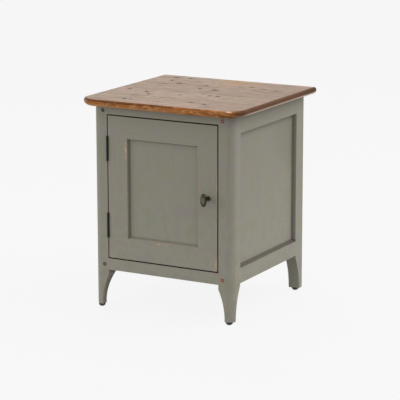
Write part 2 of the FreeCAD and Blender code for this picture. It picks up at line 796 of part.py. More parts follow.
side_sight = top_rail_low - bottom_rail_high
side_sight_middle = (top_rail_low + bottom_rail_high) / 2
for side, hand, turn in ((1, "right", ON_RIGHT), (-1, "left", ON_LEFT)):
    ring = bead_ring(f"{hand}_side_bead", side_opening, side_sight, cell("side_recess"))
    place(ring, side * half_width, middle_y, side_sight_middle, turn)
    keep(ring)


# ---------------------------------------------------------------- floor and shelf

floor_top = opening_low
floor_under = floor_top - cell("floor_thickness")
slack = cell("floor_clearance")
floor_edge = side_rail_inner - slack
floor_board = board(
    "floor_board",
    (-floor_edge, floor_edge),
    (front + cell("front_bottom_depth"), back_rail_inner - slack),
    (floor_under, floor_top),
)
for side in (1, -1):
    for inner, deep in (
        (front_post_inner, (front, front_post_back + slack)),
        (back_post_inner, (back_post_front - slack, back)),
    ):
        notch = mirrored(side, inner - slack, half_width)
        cut(floor_board, "z", (floor_under, floor_top), draw_rectangle, notch, deep)
keep(floor_board)

shelf_under = cell("shelf_level") - cell("shelf_thickness")
shelf_slack = cell("shelf_clearance")
shelf_edge = side_panel_inner - shelf_slack
shelf = board(
    "shelf",
    (-shelf_edge, shelf_edge),
    (front_post_back + shelf_slack, back_panel_inner - shelf_slack),
    (shelf_under, cell("shelf_level")),
)
for side in (1, -1):
    notch = mirrored(side, back_post_inner - shelf_slack, half_width)
    deep = (back_post_front - shelf_slack, back)
    cut(shelf, "z", (shelf_under, cell("shelf_level")), draw_rectangle, notch, deep)
keep(shelf)

cleat_screw_levels = floor_under - cell("floor_cleat") / 2
cleat_pitch = side_opening / 2 - cell("floor_cleat") * 2
cleat_screw_places = [middle_y + cleat_pitch * step for step in (-1, 0, 1)]
cleat_inner = side_rail_inner - cell("floor_cleat")
for side, hand in ((1, "right"), (-1, "left")):
    lengthwise = (front_post_back, back_post_front)
    across = mirrored(side, cleat_inner, side_rail_inner)
    tall = (floor_under - cell("floor_cleat"), floor_under)
    cleat = board(f"{hand}_floor_cleat", across, lengthwise, tall)
    holes = [(y, cleat_screw_levels) for y in cleat_screw_places]
    countersink(
        cleat,
        "x",
        side * cleat_inner,
        holes,
        cell("cleat_screw_radius") + clear,
        cell("cleat_screw_head"),
        side > 0,
    )
    keep(cleat)
    shelf_cleat_outer = side_panel_inner - cell("shelf_cleat_gap")
    across = mirrored(side, front_post_inner, shelf_cleat_outer)
    tall = (shelf_under - cell("shelf_cleat_height"), shelf_under)
    keep(board(f"{hand}_shelf_cleat", across, lengthwise, tall))


# ---------------------------------------------------------------- screws

def wood_screw(label, radius, head_radius, length):
    """A countersunk screw with a slotted head, its flat at the origin and its point at -Z."""
    body = new_body(label)
    point = radius * POINT_LENGTH
    profile = [
        (0, 0),
        (head_radius, 0),
        (radius, radius - head_radius),
        (radius, point - length),
        (0, -length),
    ]
    revolve(body, "y", profile)
    slot_half, slot_deep = head_radius * SLOT_WIDTH / 2, head_radius * SLOT_DEPTH
    reach = head_radius + OVERRUN
    slot = ((-reach, reach), (-slot_half, slot_half))
    cut(body, "z", (-slot_deep, 0), draw_rectangle, *slot)
    return body


hinge_screw = wood_screw(
    "hinge_screw", cell("hinge_screw_radius"), cell("hinge_screw_head"), cell("hinge_screw_length")
)
cleat_screw = wood_screw(
    "cleat_screw", cell("cleat_screw_radius"), cell("cleat_screw_head"), cell("cleat_screw_length")
)
top_screw = wood_screw(
    "top_screw", cell("top_screw_radius"), cell("top_screw_head"), cell("top_screw_length")
)
catch_screw = wood_screw(
    "catch_screw", cell("catch_screw_radius"), cell("catch_screw_head"), cell("catch_screw_length")
)
strike_screw = wood_screw(
    "strike_screw",
    cell("catch_screw_radius"),
    cell("catch_screw_head"),
    cell("strike_screw_length"),
)

cleat_copies = []
for side, turn in ((1, TO_LEFT), (-1, TO_RIGHT)):
    for y in cleat_screw_places:
        cleat_copies.append(copy_of(cleat_screw, side * cleat_inner, y, cleat_screw_levels, turn))
keep(group("cleat_screws", cleat_copies))

# Their pilot holes in the bottom side rails.
for node in nodes:
    if node.Label in ("right_bottom_rail", "left_bottom_rail"):
        centres = [(cleat_pitch * step, cleat_screw_levels - rail_bottom) for step in (-1, 0, 1)]
        radius = cell("cleat_screw_radius") + cell("pilot_clearance")
        tip = cell("cleat_screw_length") - cell("floor_cleat") + cell("tenon_end_gap")
        span = (cell("rail_thickness") - tip, cell("rail_thickness"))
        cut(node, "y", span, draw_circles, centres, radius)


# ---------------------------------------------------------------- table top and what holds it

table_top = new_body("table_top")
top_half = half_width + cell("top_side_overhang")
top_front = front - cell("top_front_overhang")
top_back = back + cell("top_back_overhang")
corner = cell("top_corner_radius")
top_plan = [
    (corner - top_half, top_front),
    (top_half - corner, top_front, "leaving"),
    (top_half, top_front + corner),
    (top_half, top_back),
    (-top_half, top_back),
    (-top_half, top_front + corner, "leaving"),
]
add(table_top, "z", (under_top, cell("total_height")), draw_outline, top_plan)
for level, radius in (
    (cell("total_height"), cell("top_nose_radius")),
    (under_top, cell("top_under_radius")),
):
    rim = edges_where(
        table_top,
        lambda ends: lie_at(ends, level) and any(end.y < top_back.value - NEAR for end in ends),
    )
    soften(table_top, "Fillet", rim, radius)

button_tall = cell("front_top_height") - cell("button_clearance")
button_low = under_top - button_tall
button_half = cell("button_width") / 2
screw_back = cell("button_length") / 2

button = new_body("button")
block = ((-cell("button_length"), 0), (-button_half, button_half))
add(button, "z", (0, button_tall), draw_rectangle, *block)
tongue = ((0, cell("button_tongue")), (-button_half, button_half))
add(button, "z", (0, cell("button_tongue")), draw_rectangle, *tongue)
top_hole = cell("top_screw_radius") + clear
top_head = cell("top_screw_head")
countersink(button, "z", 0, [(-screw_back, 0)], top_hole, top_head, True)

button_copies = []
screw_places = []
for direction, x, y in (
    (0, side_rail_inner, middle_y),
    (180, -side_rail_inner, middle_y),
    (90, 0, back_rail_inner),
):
    turn = Rotation(Vector(0, 0, 1), direction)
    along = turn.multVec(Vector(0, 1, 0))
    inward = turn.multVec(Vector(-1, 0, 0))
    for step in (-1, 1):
        shift = cell("button_inset") * step
        seat_x = x + shift * round(along.x)
        seat_y = y + shift * round(along.y)
        button_copies.append(copy_of(button, seat_x, seat_y, button_low, turn))
        screw_x = seat_x + screw_back * round(inward.x)
        screw_y = seat_y + screw_back * round(inward.y)
        screw_places.append((screw_x, screw_y, button_low))
keep(group("top_buttons", button_copies))

front_screw_y = front + cell("front_top_depth") / 2
front_screws = [(side * cell("front_screw_centre"), front_screw_y) for side in (-1, 1)]
countersink(front_top, "z", opening_high, front_screws, top_hole, top_head, True)
screw_places += [(x, y, opening_high) for x, y in front_screws]
keep(group("top_screws", [copy_of(top_screw, x, y, z, DOWNWARDS) for x, y, z in screw_places]))

top_pilots = [(x, y) for x, y, z in screw_places]
pilot_top = button_low + cell("top_screw_length") + cell("tenon_end_gap")
pilot_radius = cell("top_screw_radius") + cell("pilot_clearance")
cut(table_top, "z", (under_top, pilot_top), draw_circles, top_pilots, pilot_radius)
keep(table_top)


# ---------------------------------------------------------------- pads under the legs

def foot_pad(label, x, y):
    """A pad with a bevelled rim, and a peg up into the leg."""
    body = new_body(label)
    tall, rim = cell("glide_height"), cell("glide_radius")
    bevel = rim - cell("glide_floor_radius")
    spigot = cell("spigot_radius")
    high = tall + cell("spigot_length")
    profile = [
        (0, 0),
        (cell("glide_floor_radius"), 0),
        (rim, bevel),
        (rim, tall),
        (spigot, tall),
        (spigot, high),
        (0, high),
    ]
    revolve(body, "y", profile)
    place(body, x, y)
    return body


for (end, hand) in posts:
    side = 1 if hand == "right" else -1
    pad_x, pad_y = foot_centres[end]
    keep(foot_pad(f"{end}_{hand}_foot_pad", side * pad_x, pad_y))


# ---------------------------------------------------------------- door frame and panel

def door_stile(label):
    """A stile drawn from its outer edge: X inwards from that edge, Y back from the door's face,
    Z from the middle. It has the panel groove and a mortise at each end."""
    body = new_body(label)
    half, width = door_height / 2, cell("door_member_width")
    add(body, "z", (-half, half), draw_rectangle, (0, width), (0, cell("door_thickness")))
    deep = (
        cell("door_recess") - clear,
        cell("door_recess") + cell("tenon_thickness") + clear,
    )
    groove_end = half - width + cell("groove_depth")
    groove = ((width - cell("groove_depth"), width), deep)
    cut(body, "z", (-groove_end, groove_end), draw_rectangle, *groove)
    mortise = (width - cell("door_tenon_length") - cell("tenon_end_gap"), width)
    tenon_low = half - width + cell("groove_depth") - clear
    tenon_high = half - cell("door_tenon_shoulder") + clear
    cut(body, "z", (tenon_low, tenon_high), draw_rectangle, mortise, deep)
    cut(body, "z", (-tenon_high, -tenon_low), draw_rectangle, mortise, deep)
    return body


hinge_stile = door_stile("door_hinge_stile")
place(hinge_stile, -door_half, front, door_middle)
door_screws = []
for step in (-1, 1):
    level = cell("hinge_spacing") / 2 * step
    leaf_span = (level - leaf_tall, level + leaf_tall)
    leaf_deep = (-OVERRUN, cell("leaf_width") + cell("leaf_clearance"))
    cut(hinge_stile, "x", (-OVERRUN, let_in), draw_rectangle, leaf_deep, leaf_span)
    for height in leaf_screw_heights(level):
        door_screws.append((leaf_screw_y - cell("hinge_proud"), height))
pilot_span = (0, cell("hinge_screw_length") + cell("tenon_end_gap"))
cut(hinge_stile, "x", pilot_span, draw_circles, door_screws, hinge_pilot)
keep(hinge_stile)

lock_stile = door_stile("door_lock_stile")
place(lock_stile, door_half, front, door_middle, FLIPPED)
bolt_hole = cell("bolt_radius") + clear
bolt_place = [(cell("knob_edge"), 0)]
cut(lock_stile, "y", (0, cell("door_thickness")), draw_circles, bolt_place, bolt_hole)
keep(lock_stile)

door_rail_sizes = (
    sight_half * 2,
    cell("door_member_width"),
    cell("door_thickness"),
    cell("door_recess"),
    cell("door_tenon_length"),
    cell("door_tenon_shoulder"),
)
door_bottom_rail = framed_rail("door_bottom_rail", *door_rail_sizes)
place(door_bottom_rail, 0, front, door_low)
door_top_rail = framed_rail("door_top_rail", *door_rail_sizes)
place(door_top_rail, 0, front, door_high, FLIPPED)
keep(door_bottom_rail)
keep(door_top_rail)

door_sight = door_height - cell("door_member_width") * 2
door_panel_x = sight_half + in_groove
door_panel_y = front + cell("door_recess")
door_panel_low = door_low + cell("door_member_width") - cell("groove_depth")
door_panel_high = door_high - cell("door_member_width") + in_groove
keep(
    board(
        "door_panel",
        (-door_panel_x, door_panel_x),
        (door_panel_y, door_panel_y + cell("tenon_thickness")),
        (door_panel_low, door_panel_high),
    )
)
door_bead = bead_ring("door_bead", sight_half * 2, door_sight, cell("door_recess"))
place(door_bead, 0, front, door_middle)
keep(door_bead)


# ---------------------------------------------------------------- knob

TOWARDS_FRONT = Rotation(Vector(1, 0, 0), 90)  # +Z of the knob turned to -Y
knob_x = door_half - cell("knob_edge")

knob = new_body("knob")
neck = cell("knob_neck_radius")
stem_end = cell("knob_reach") - cell("knob_half_width") / 2
stem = [
    (0, 0),
    (cell("knob_foot_radius"), 0),
    (cell("knob_foot_radius"), cell("knob_foot_rim")),
    (neck, cell("knob_neck_reach")),
    (neck, stem_end),
    (0, stem_end),
]
revolve(knob, "y", stem)
tip, flank = cell("knob_half_height"), cell("knob_half_width")
turns = [math.pi * (band / OVAL_BANDS - 0.5) for band in range(1, OVAL_BANDS)]
bands = [(flank * math.cos(turn), tip * math.sin(turn)) for turn in turns]
revolve(knob, "z", [(0, -tip), *bands, (0, tip)], cell("knob_reach"))
bolt_room = (0, cell("bolt_grip") + cell("tenon_end_gap"))
cut(knob, "z", bolt_room, draw_circles, [(0, 0)], cell("bolt_radius") + clear)
place(knob, knob_x, front, door_middle, TOWARDS_FRONT)
keep(knob)

bolt = new_body("knob_bolt")
bolt_tip = cell("door_thickness") + cell("bolt_grip")
shank, head = cell("bolt_radius"), cell("bolt_head_radius")
bolt_profile = [
    (0, -cell("bolt_head_height")),
    (head * HEAD_FLAT, -cell("bolt_head_height")),
    (head, -cell("bolt_head_rim")),
    (head, 0),
    (shank, 0),
    (shank, bolt_tip),
    (0, bolt_tip),
]
revolve(bolt, "y", bolt_profile)
cross_half, cross_reach = head * SLOT_WIDTH / 2, head * CROSS_REACH
head_face = -cell("bolt_head_height")
cross_deep = (head_face, head_face + head * SLOT_DEPTH)
for u, v in ((cross_half, cross_reach), (cross_reach, cross_half)):
    cut(bolt, "z", cross_deep, draw_rectangle, (-u, u), (-v, v))
place(bolt, knob_x, door_back, door_middle, TOWARDS_FRONT)
keep(bolt)


# ---------------------------------------------------------------- butt hinges

def hinge_leaf(label, side, first):
    """A leaf about its pin: the plate on one side, its knuckles round the pin starting from the
    one numbered first, notches for the other leaf's knuckles, and countersunk screw holes."""
    body = new_body(label)
    half = cell("hinge_length") / 2
    knuckle = (cell("hinge_length") - cell("knuckle_gap") * (KNUCKLES - 1)) / KNUCKLES
    pitch = knuckle + cell("knuckle_gap")
    plate_x = mirrored(side, leaf_inner, leaf_outer)
    plate_y = (0, cell("hinge_proud") + cell("leaf_width"))
    add(body, "z", (-half, half), draw_rectangle, plate_x, plate_y)

    def level(index):
        return pitch * index - half

    other = 1 - first
    gap = cell("knuckle_gap")
    notch_x = mirrored(side, leaf_inner, leaf_outer)
    notch_y = (0, cell("knuckle_radius") + gap)
    notch_span = (level(other) - gap, level(other) + knuckle + gap)
    notch = cut(body, "z", notch_span, draw_rectangle, notch_x, notch_y)
    repeat(body, notch, pitch * 2, len(range(other, KNUCKLES, 2)))
    barrel_span = (level(first), level(first) + knuckle)
    barrel = add(body, "z", barrel_span, draw_circles, [(0, 0)], cell("knuckle_radius"))
    repeat(body, barrel, pitch * 2, len(range(first, KNUCKLES, 2)))
    bore = cell("pin_radius") + cell("pin_clearance")
    cut(body, "z", (-half, half), draw_circles, [(0, 0)], bore)
    holes = [(leaf_screw_y, height) for height in leaf_screw_heights(0)]
    radius = cell("hinge_screw_radius") + clear
    head_radius = cell("hinge_screw_head")
    countersink(body, "x", side * leaf_inner, holes, radius, head_radius, side > 0)
    return body


def hinge_pin(label):
    """A pin with a bevelled head at each end."""
    body = new_body(label)
    half = cell("hinge_length") / 2
    radius, head_radius = cell("pin_radius"), cell("pin_head_radius")
    high = half + cell("pin_head")
    profile = [
        (0, -high),
        (head_radius * HEAD_FLAT, -high),
        (head_radius, -half),
        (radius, -half),
        (radius, half),
        (head_radius, half),
        (head_radius * HEAD_FLAT, high),
        (0, high),
    ]
    revolve(body, "y", profile)
    return body


for name, level in hinge_levels.items():
    for piece in (
        hinge_leaf(f"{name}_hinge_frame_leaf", -1, 0),
        hinge_leaf(f"{name}_hinge_door_leaf", 1, 1),
        hinge_pin(f"{name}_hinge_pin"),
    ):
        place(piece, hinge_x, hinge_y, level)
        keep(piece)

for label, x, turn in (
    ("hinge_frame_screws", hinge_x - leaf_inner, TO_RIGHT),
    ("hinge_door_screws", hinge_x + leaf_inner, TO_LEFT),
):
    copies = [
        copy_of(hinge_screw, x, hinge_y + leaf_screw_y, height, turn)
        for level in hinge_levels.values()
        for height in leaf_screw_heights(level)
    ]
    keep(group(label, copies))


# ---------------------------------------------------------------- magnetic catch

strike_back = door_back + cell("strike_thickness")  # y
magnet_face = strike_back + cell("strike_gap")  # y
case_face = magnet_face + cell("magnet_proud")  # y
case_low = opening_high - cell("catch_height")
case_middle = opening_high - cell("catch_height") / 2
catch_x = cell("catch_centre")
catch_screw_x = (cell("catch_width") + cell("magnet_width")) / 4
catch_screw_y = case_face + cell("catch_depth") / 2
catch_hole = cell("catch_screw_radius") + clear
catch_head = cell("catch_screw_head")

case_x = (catch_x - cell("catch_width") / 2, catch_x + cell("catch_width") / 2)
case_y = (case_face, case_face + cell("catch_depth"))
catch_case = board("catch_case", case_x, case_y, (case_low, opening_high))
magnet_x = (catch_x - cell("magnet_width") / 2, catch_x + cell("magnet_width") / 2)
magnet_z = (case_middle - cell("magnet_height") / 2, case_middle + cell("magnet_height") / 2)
magnet_back = magnet_face + cell("magnet_depth")
slot = ((magnet_x[0] - clear, magnet_x[1] + clear), (magnet_z[0] - clear, magnet_z[1] + clear))
cut(catch_case, "y", (case_face, magnet_back + clear), draw_rectangle, *slot)
screw_xs = [catch_x + catch_screw_x * step for step in (-1, 1)]
catch_points = [(x, catch_screw_y) for x in screw_xs]
countersink(catch_case, "z", case_low, catch_points, catch_hole, catch_head, True)
keep(catch_case)
keep(board("catch_magnet", magnet_x, (magnet_face, magnet_back), magnet_z))
catch_copies = [copy_of(catch_screw, x, y, case_low, DOWNWARDS) for x, y in catch_points]
keep(group("catch_screws", catch_copies))
catch_pilot = cell("catch_screw_radius") + cell("pilot_clearance")
pilot_tip = case_low + cell("catch_screw_length") + cell("tenon_end_gap")
cut(front_top, "z", (opening_high, pilot_tip), draw_circles, catch_points, catch_pilot)

strike_x = (catch_x - cell("strike_width") / 2, catch_x + cell("strike_width") / 2)
strike_z = (case_middle - cell("strike_height") / 2, case_middle + cell("strike_height") / 2)
strike = board("strike_plate", strike_x, (door_back, strike_back), strike_z)
strike_point = [(catch_x, case_middle)]
countersink(strike, "y", strike_back, strike_point, catch_hole, catch_head, False)
keep(strike)
place(strike_screw, catch_x, strike_back, case_middle, BACKWARDS)
keep(strike_screw)
strike_tip = cell("strike_screw_length") - cell("strike_thickness") + cell("tenon_end_gap")
strike_span = (cell("door_thickness") - strike_tip, cell("door_thickness"))
strike_local = [(door_half - catch_x, door_middle - case_middle)]
cut(lock_stile, "y", strike_span, draw_circles, strike_local, catch_pilot)


# ---------------------------------------------------------------- checks and writing out

doc.recompute()
for thing in doc.Objects:
    if "Invalid" in thing.State or "Error" in thing.State:
        raise RuntimeError(f"{thing.Name} ({thing.Label}) did not compute: {thing.State}")

os.makedirs("parts", exist_ok=True)
for node in nodes:
    if node.Shape.isNull() or not node.Shape.isValid():
        raise RuntimeError(f"{node.Label} has no valid shape")
    node.Shape.exportStep(f"parts/{node.Label}.step")
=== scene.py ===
"""Storage side table with a door: finishes, knob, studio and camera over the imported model."""

import logging
import math
from collections.abc import Mapping
from dataclasses import dataclass, replace
from enum import Enum
from functools import reduce

import bpy
import numpy as np
from mathutils import Matrix, Vector


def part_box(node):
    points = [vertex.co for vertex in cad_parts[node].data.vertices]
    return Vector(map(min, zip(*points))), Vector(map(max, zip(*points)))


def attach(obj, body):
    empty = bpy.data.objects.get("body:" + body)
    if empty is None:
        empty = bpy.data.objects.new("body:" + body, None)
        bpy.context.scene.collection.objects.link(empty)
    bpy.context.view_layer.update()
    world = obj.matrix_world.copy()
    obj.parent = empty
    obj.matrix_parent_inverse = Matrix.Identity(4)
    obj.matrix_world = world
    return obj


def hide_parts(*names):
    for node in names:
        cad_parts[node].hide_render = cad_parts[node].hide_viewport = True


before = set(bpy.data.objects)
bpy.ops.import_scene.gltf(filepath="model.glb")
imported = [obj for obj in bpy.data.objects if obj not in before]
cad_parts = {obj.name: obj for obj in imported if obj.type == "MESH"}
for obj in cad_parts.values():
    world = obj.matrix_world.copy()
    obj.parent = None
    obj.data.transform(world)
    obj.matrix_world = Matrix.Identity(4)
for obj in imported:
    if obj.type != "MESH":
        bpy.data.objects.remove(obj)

log = logging.getLogger("side_table")

PICTURE_SIDE = 400  # pixels along each side of the picture
DOOR_GAP = 0.0028  # metres between the door and its frame
HAIR = 0.0001  # metres, the room left where two faces meet
WHITE = (1, 1, 1, 1)

Colour = tuple[float, float, float]
Place = tuple[float, float, float]


def shade(red: float, green: float, blue: float) -> Colour:
    """Turns a colour as a screen shows it into the light that it stands for.

    Args:
        red: Red as displayed, from 0 to 255.
        green: Green as displayed.
        blue: Blue as displayed.

    Returns:
        The three linear shares of light.
    """
    shown = np.array([red, green, blue]) / 255
    light = np.where(shown <= 0.04045, shown / 12.92, ((shown + 0.055) / 1.055) ** 2.4)
    return tuple(float(part) for part in light)


def direction(azimuth: float, elevation: float) -> Vector:
    """The way, of length 1, at that many degrees round from the front to the right and up."""
    a, e = math.radians(azimuth), math.radians(elevation)
    return Vector((math.sin(a) * math.cos(e), -math.cos(a) * math.cos(e), math.sin(e)))


# ---------------------------------------------------------------- shader graphs


@dataclass(frozen=True)
class Signal:
    """An output of a shader graph, on which arithmetic is written as Python expressions."""

    graph: "Graph"
    socket: bpy.types.NodeSocket

    def __add__(self, other: "Signal | float") -> "Signal":
        """Sum of two values."""
        return self.graph.sum_up("ADD", self, other)

    def __radd__(self, other: float) -> "Signal":
        """Sum of two values, the number first."""
        return self.graph.sum_up("ADD", other, self)

    def __sub__(self, other: "Signal | float") -> "Signal":
        """Difference of two values."""
        return self.graph.sum_up("SUBTRACT", self, other)

    def __rsub__(self, other: float) -> "Signal":
        """Difference of two values, the number first."""
        return self.graph.sum_up("SUBTRACT", other, self)

    def __mul__(self, other: "Signal | float") -> "Signal":
        """Product of two values."""
        return self.graph.sum_up("MULTIPLY", self, other)

    def __rmul__(self, other: float) -> "Signal":
        """Product of two values, the number first."""
        return self.graph.sum_up("MULTIPLY", other, self)

    def __truediv__(self, other: "Signal | float") -> "Signal":
        """Quotient of two values."""
        return self.graph.sum_up("DIVIDE", self, other)

    def __rtruediv__(self, other: float) -> "Signal":
        """Quotient of two values, the number first."""
        return self.graph.sum_up("DIVIDE", other, self)

    def at_least(self, other: "Signal | float") -> "Signal":
        """The larger of two values."""
        return self.graph.sum_up("MAXIMUM", self, other)

    def at_most(self, other: "Signal | float") -> "Signal":
        """The smaller of two values."""
        return self.graph.sum_up("MINIMUM", self, other)

    def size(self) -> "Signal":
        """The value without its sign."""
        return self.graph.sum_up("ABSOLUTE", self)

    def whole(self) -> "Signal":
        """The value rounded down."""
        return self.graph.sum_up("FLOOR", self)

    def fades(self, full: float, none: float) -> "Signal":
        """Turns the value into a mask with soft edges.

        Args:
            full: Value at which the mask is 1.
            none: Value at which the mask is 0, on either side of full.

        Returns:
            A mask from 0 to 1 that follows an S-curve between the two.
        """
        settings = {"interpolation_type": "SMOOTHSTEP"}
        return self.graph.node(
            "MapRange", settings, {"Value": self, "From Min": none, "From Max": full}
        )


class Graph:
    """The shader graph of a material or of the world."""

    MIX_FIRST, MIX_SECOND, MIX_RESULT = 6, 7, 2  # a Mix node's sockets for colours

    def __init__(self, owner: bpy.types.Material | bpy.types.World) -> None:
        """Takes the owner's graph and empties it.

        Args:
            owner: The material or the world that the graph belongs to.
        """
        owner.use_nodes = True
        self.tree = owner.node_tree
        self.tree.nodes.clear()

    def new(
        self,
        kind: str,
        settings: Mapping[str, object] | None = None,
        values: Mapping[str | int, object] | None = None,
    ) -> bpy.types.Node:
        """Adds one node.

        Args:
            kind: The node's type, without the words ShaderNode.
            settings: Its settings, which are made first.
            values: What its inputs get, each a number, a colour, a vector or a Signal.

        Returns:
            The new node.
        """
        made = self.tree.nodes.new("ShaderNode" + kind)
        for setting, choice in (settings or {}).items():
            setattr(made, setting, choice)
        for place, value in (values or {}).items():
            if isinstance(value, Signal):
                self.tree.links.new(value.socket, made.inputs[place])
            else:
                made.inputs[place].default_value = value
        return made

    def node(
        self,
        kind: str,
        settings: Mapping[str, object] | None = None,
        values: Mapping[str | int, object] | None = None,
        output: str | int = 0,
    ) -> Signal:
        """Adds one node as new does, and takes one of its outputs."""
        return Signal(self, self.new(kind, settings, values).outputs[output])

    def sum_up(self, operation: str, *numbers: Signal | float) -> Signal:
        """One Math node on those numbers."""
        return self.node("Math", {"operation": operation}, dict(enumerate(numbers)))

    def vector(self, operation: str, *vectors: Signal | Place, output: str = "Vector") -> Signal:
        """One Vector Math node on those vectors."""
        return self.node("VectorMath", {"operation": operation}, dict(enumerate(vectors)), output)

    def length(self, vector: Signal) -> Signal:
        """The length of a vector."""
        return self.vector("LENGTH", vector, output="Value")

    def parts(self, vector: Signal) -> list[Signal]:
        """The X, Y and Z of a vector."""
        split = self.new("SeparateXYZ", None, {0: vector})
        return [Signal(self, split.outputs[axis]) for axis in "XYZ"]

    def join(self, x: Signal | float, y: Signal | float, z: Signal | float) -> Signal:
        """The vector with those three parts."""
        return self.node("CombineXYZ", None, {0: x, 1: y, 2: z})

    def mix(
        self, share: Signal | float, first: Signal | Colour, second: Signal | Colour
    ) -> Signal:
        """Mixes two colours.

        Args:
            share: How much of the second colour there is, from 0 to 1.
            first: The colour where share is 0.
            second: The colour that comes in with share.

        Returns:
            The mixed colour.
        """
        pair = [c if isinstance(c, Signal) else (*c, 1) for c in (first, second)]
        values = {0: share, self.MIX_FIRST: pair[0], self.MIX_SECOND: pair[1]}
        return self.node("Mix", {"data_type": "RGBA"}, values, self.MIX_RESULT)

    def point(self) -> Signal:
        """Where a point of the surface is, in metres."""
        return self.node("TexCoord", output="Object")

    def around(self, point: Signal, centre: Place, reach: Place) -> Signal:
        """How far a point is from a centre, 1 on the ellipsoid with those half sizes."""
        away = self.vector("DIVIDE", self.vector("SUBTRACT", point, centre), reach)
        return self.length(away)

    def bump(self, height: Signal, depth: float, strength: float) -> Signal:
        """The normal of a relief in which 1 is that depth in metres."""
        return self.node("Bump", None, {"Height": height, "Distance": depth, "Strength": strength})

    def end(self, shader: Signal, kind: str = "OutputMaterial") -> None:
        """Joins a shader to the output of a material, or of the world."""
        self.new(kind, None, {"Surface": shader})


# ---------------------------------------------------------------- parts of a finish


@dataclass(frozen=True)
class Fade:
    """A soft step from the value that gives nothing to the value that gives the full share."""

    none: float
    full: float
    share: float = 1

    def of(self, value: Signal) -> Signal:
        """The share that a value gives."""
        return value.fades(self.full, self.none) * self.share


@dataclass(frozen=True)
class Wash:
    """A colour that comes in where a pattern passes through a soft step."""

    colour: Colour
    step: Fade

    def over(self, graph: Graph, tone: Signal | Colour, pattern: Signal) -> Signal:
        """The tone with the wash laid over it by the pattern."""
        return graph.mix(self.step.of(pattern), tone, self.colour)


class Along(Enum):
    """Which way the grain of a board runs."""

    X = 0
    Y = 1
    Z = 2


@dataclass(frozen=True)
class Noise:
    """A cloudy pattern of values from 0 to 1 round 0.5, for a grain along X.

    clouds is how many clouds there are in a metre along each axis, detail how many finer layers
    lie on top, rough how strong these are, bend how far the clouds are twisted, and shift by how
    many clouds the pattern is moved.
    """

    clouds: Place
    detail: float = 3
    rough: float = 0.5
    bend: float = 0
    shift: Place = (0, 0, 0)

    def turned(self, along: Along) -> "Noise":
        """The same pattern for a grain along another axis."""
        return replace(self, clouds=tuple(np.roll(self.clouds, along.value).tolist()))

    def draw(self, graph: Graph, point: Signal) -> Signal:
        """Adds the pattern to a graph.

        Args:
            graph: The graph that the nodes go into.
            point: Where the pattern is looked up.

        Returns:
            The value of the pattern.
        """
        place = {"Vector": point, "Scale": self.clouds, "Location": self.shift}
        spread = graph.node("Mapping", None, place)
        values = {"Vector": spread, "Scale": 1, "Detail": self.detail, "Roughness": self.rough}
        return graph.node("TexNoise", None, {**values, "Distortion": self.bend})


@dataclass(frozen=True)
class Box:
    """A box in the part's frame, by its lowest and highest corner."""

    low: Place
    high: Place

    @classmethod
    def of(cls, *nodes: str) -> "Box":
        """The box round some pieces of the frame.

        Args:
            nodes: Names of the pieces.

        Returns:
            The smallest box that holds them all.
        """
        corners = [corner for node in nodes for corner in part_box(node)]
        spread = np.array([tuple(corner) for corner in corners])
        return cls(tuple(spread.min(0).tolist()), tuple(spread.max(0).tolist()))

    @property
    def centre(self) -> Place:
        """The middle of the box."""
        return tuple((low + high) / 2 for low, high in zip(self.low, self.high))

    @property
    def half(self) -> Place:
        """Half the box's size along each axis."""
        return tuple((high - low) / 2 for low, high in zip(self.low, self.high))

    def depths(self, graph: Graph, point: Signal) -> list[Signal]:
        """How far inside the box a point is along each axis, in metres."""
        away = graph.vector("ABSOLUTE", graph.vector("SUBTRACT", point, self.centre))
        return graph.parts(graph.vector("SUBTRACT", self.half, away))

    def from_edge(self, graph: Graph, point: Signal) -> Signal:
        """A surface point's distance from the nearest edge: the middle one of its depths."""
        x, y, z = self.depths(graph, point)
        return x.at_most(y).at_least(x.at_least(y).at_most(z))


@dataclass(frozen=True)
class Patch:
    """A soft-edged place on a surface, inside an ellipsoid round a point.

    reach is the ellipsoid's half sizes, amount the share in its middle, and grit how far a
    speckle moves its edge.
    """

    centre: Place
    reach: Place
    amount: float = 1
    grit: float = 2.4
    edge: Fade = Fade(none=0.8, full=0.35)

    def mask(self, graph: Graph, point: Signal, speckle: Signal) -> Signal:
        """The patch's share of the surface, broken up by a speckle round 0."""
        distance = graph.around(point, self.centre, self.reach)
        return self.edge.of(distance + speckle * self.grit) * self.amount


class Facing(Enum):
    """Which way a sunk rectangle faces, by the two axes along its sides."""

    FRONT = (0, 2)
    SIDE = (1, 2)


@dataclass(frozen=True)
class Hollow:
    """A sunk rectangle darkened along its sides with painted shade, by its own share along each
    side.

    start, end, bottom and top are those shares. rises is how far in from a side the shade takes
    to come up, first from the start and the end, then from the bottom and the top. It begins to
    fade at full and ends at width.
    """

    box: Box
    facing: Facing
    start: float = 0
    end: float = 0
    bottom: float = 0
    top: float = 0
    rises: tuple[float, float] = (HAIR, HAIR)
    full: float = 0.0002
    width: float = 0.006

    def dirt(self, graph: Graph, point: Signal) -> Signal:
        """The share of painted shade on the rectangle.

        Args:
            graph: The graph that the nodes go into.
            point: A point of the surface.

        Returns:
            The largest share that one of the sides gives there.
        """
        parts = graph.parts(point)
        pairs = ((self.start, self.end), (self.bottom, self.top))
        sides = []
        for axis, shares, rise in zip(self.facing.value, pairs, self.rises):
            inside = (parts[axis] - self.box.low[axis], self.box.high[axis] - parts[axis])
            for share, distance in zip(shares, inside):
                if share:
                    fading = distance.fades(self.full, self.width) * share
                    sides.append(distance.fades(rise, 0) * fading)
        return reduce(Signal.at_least, sides)


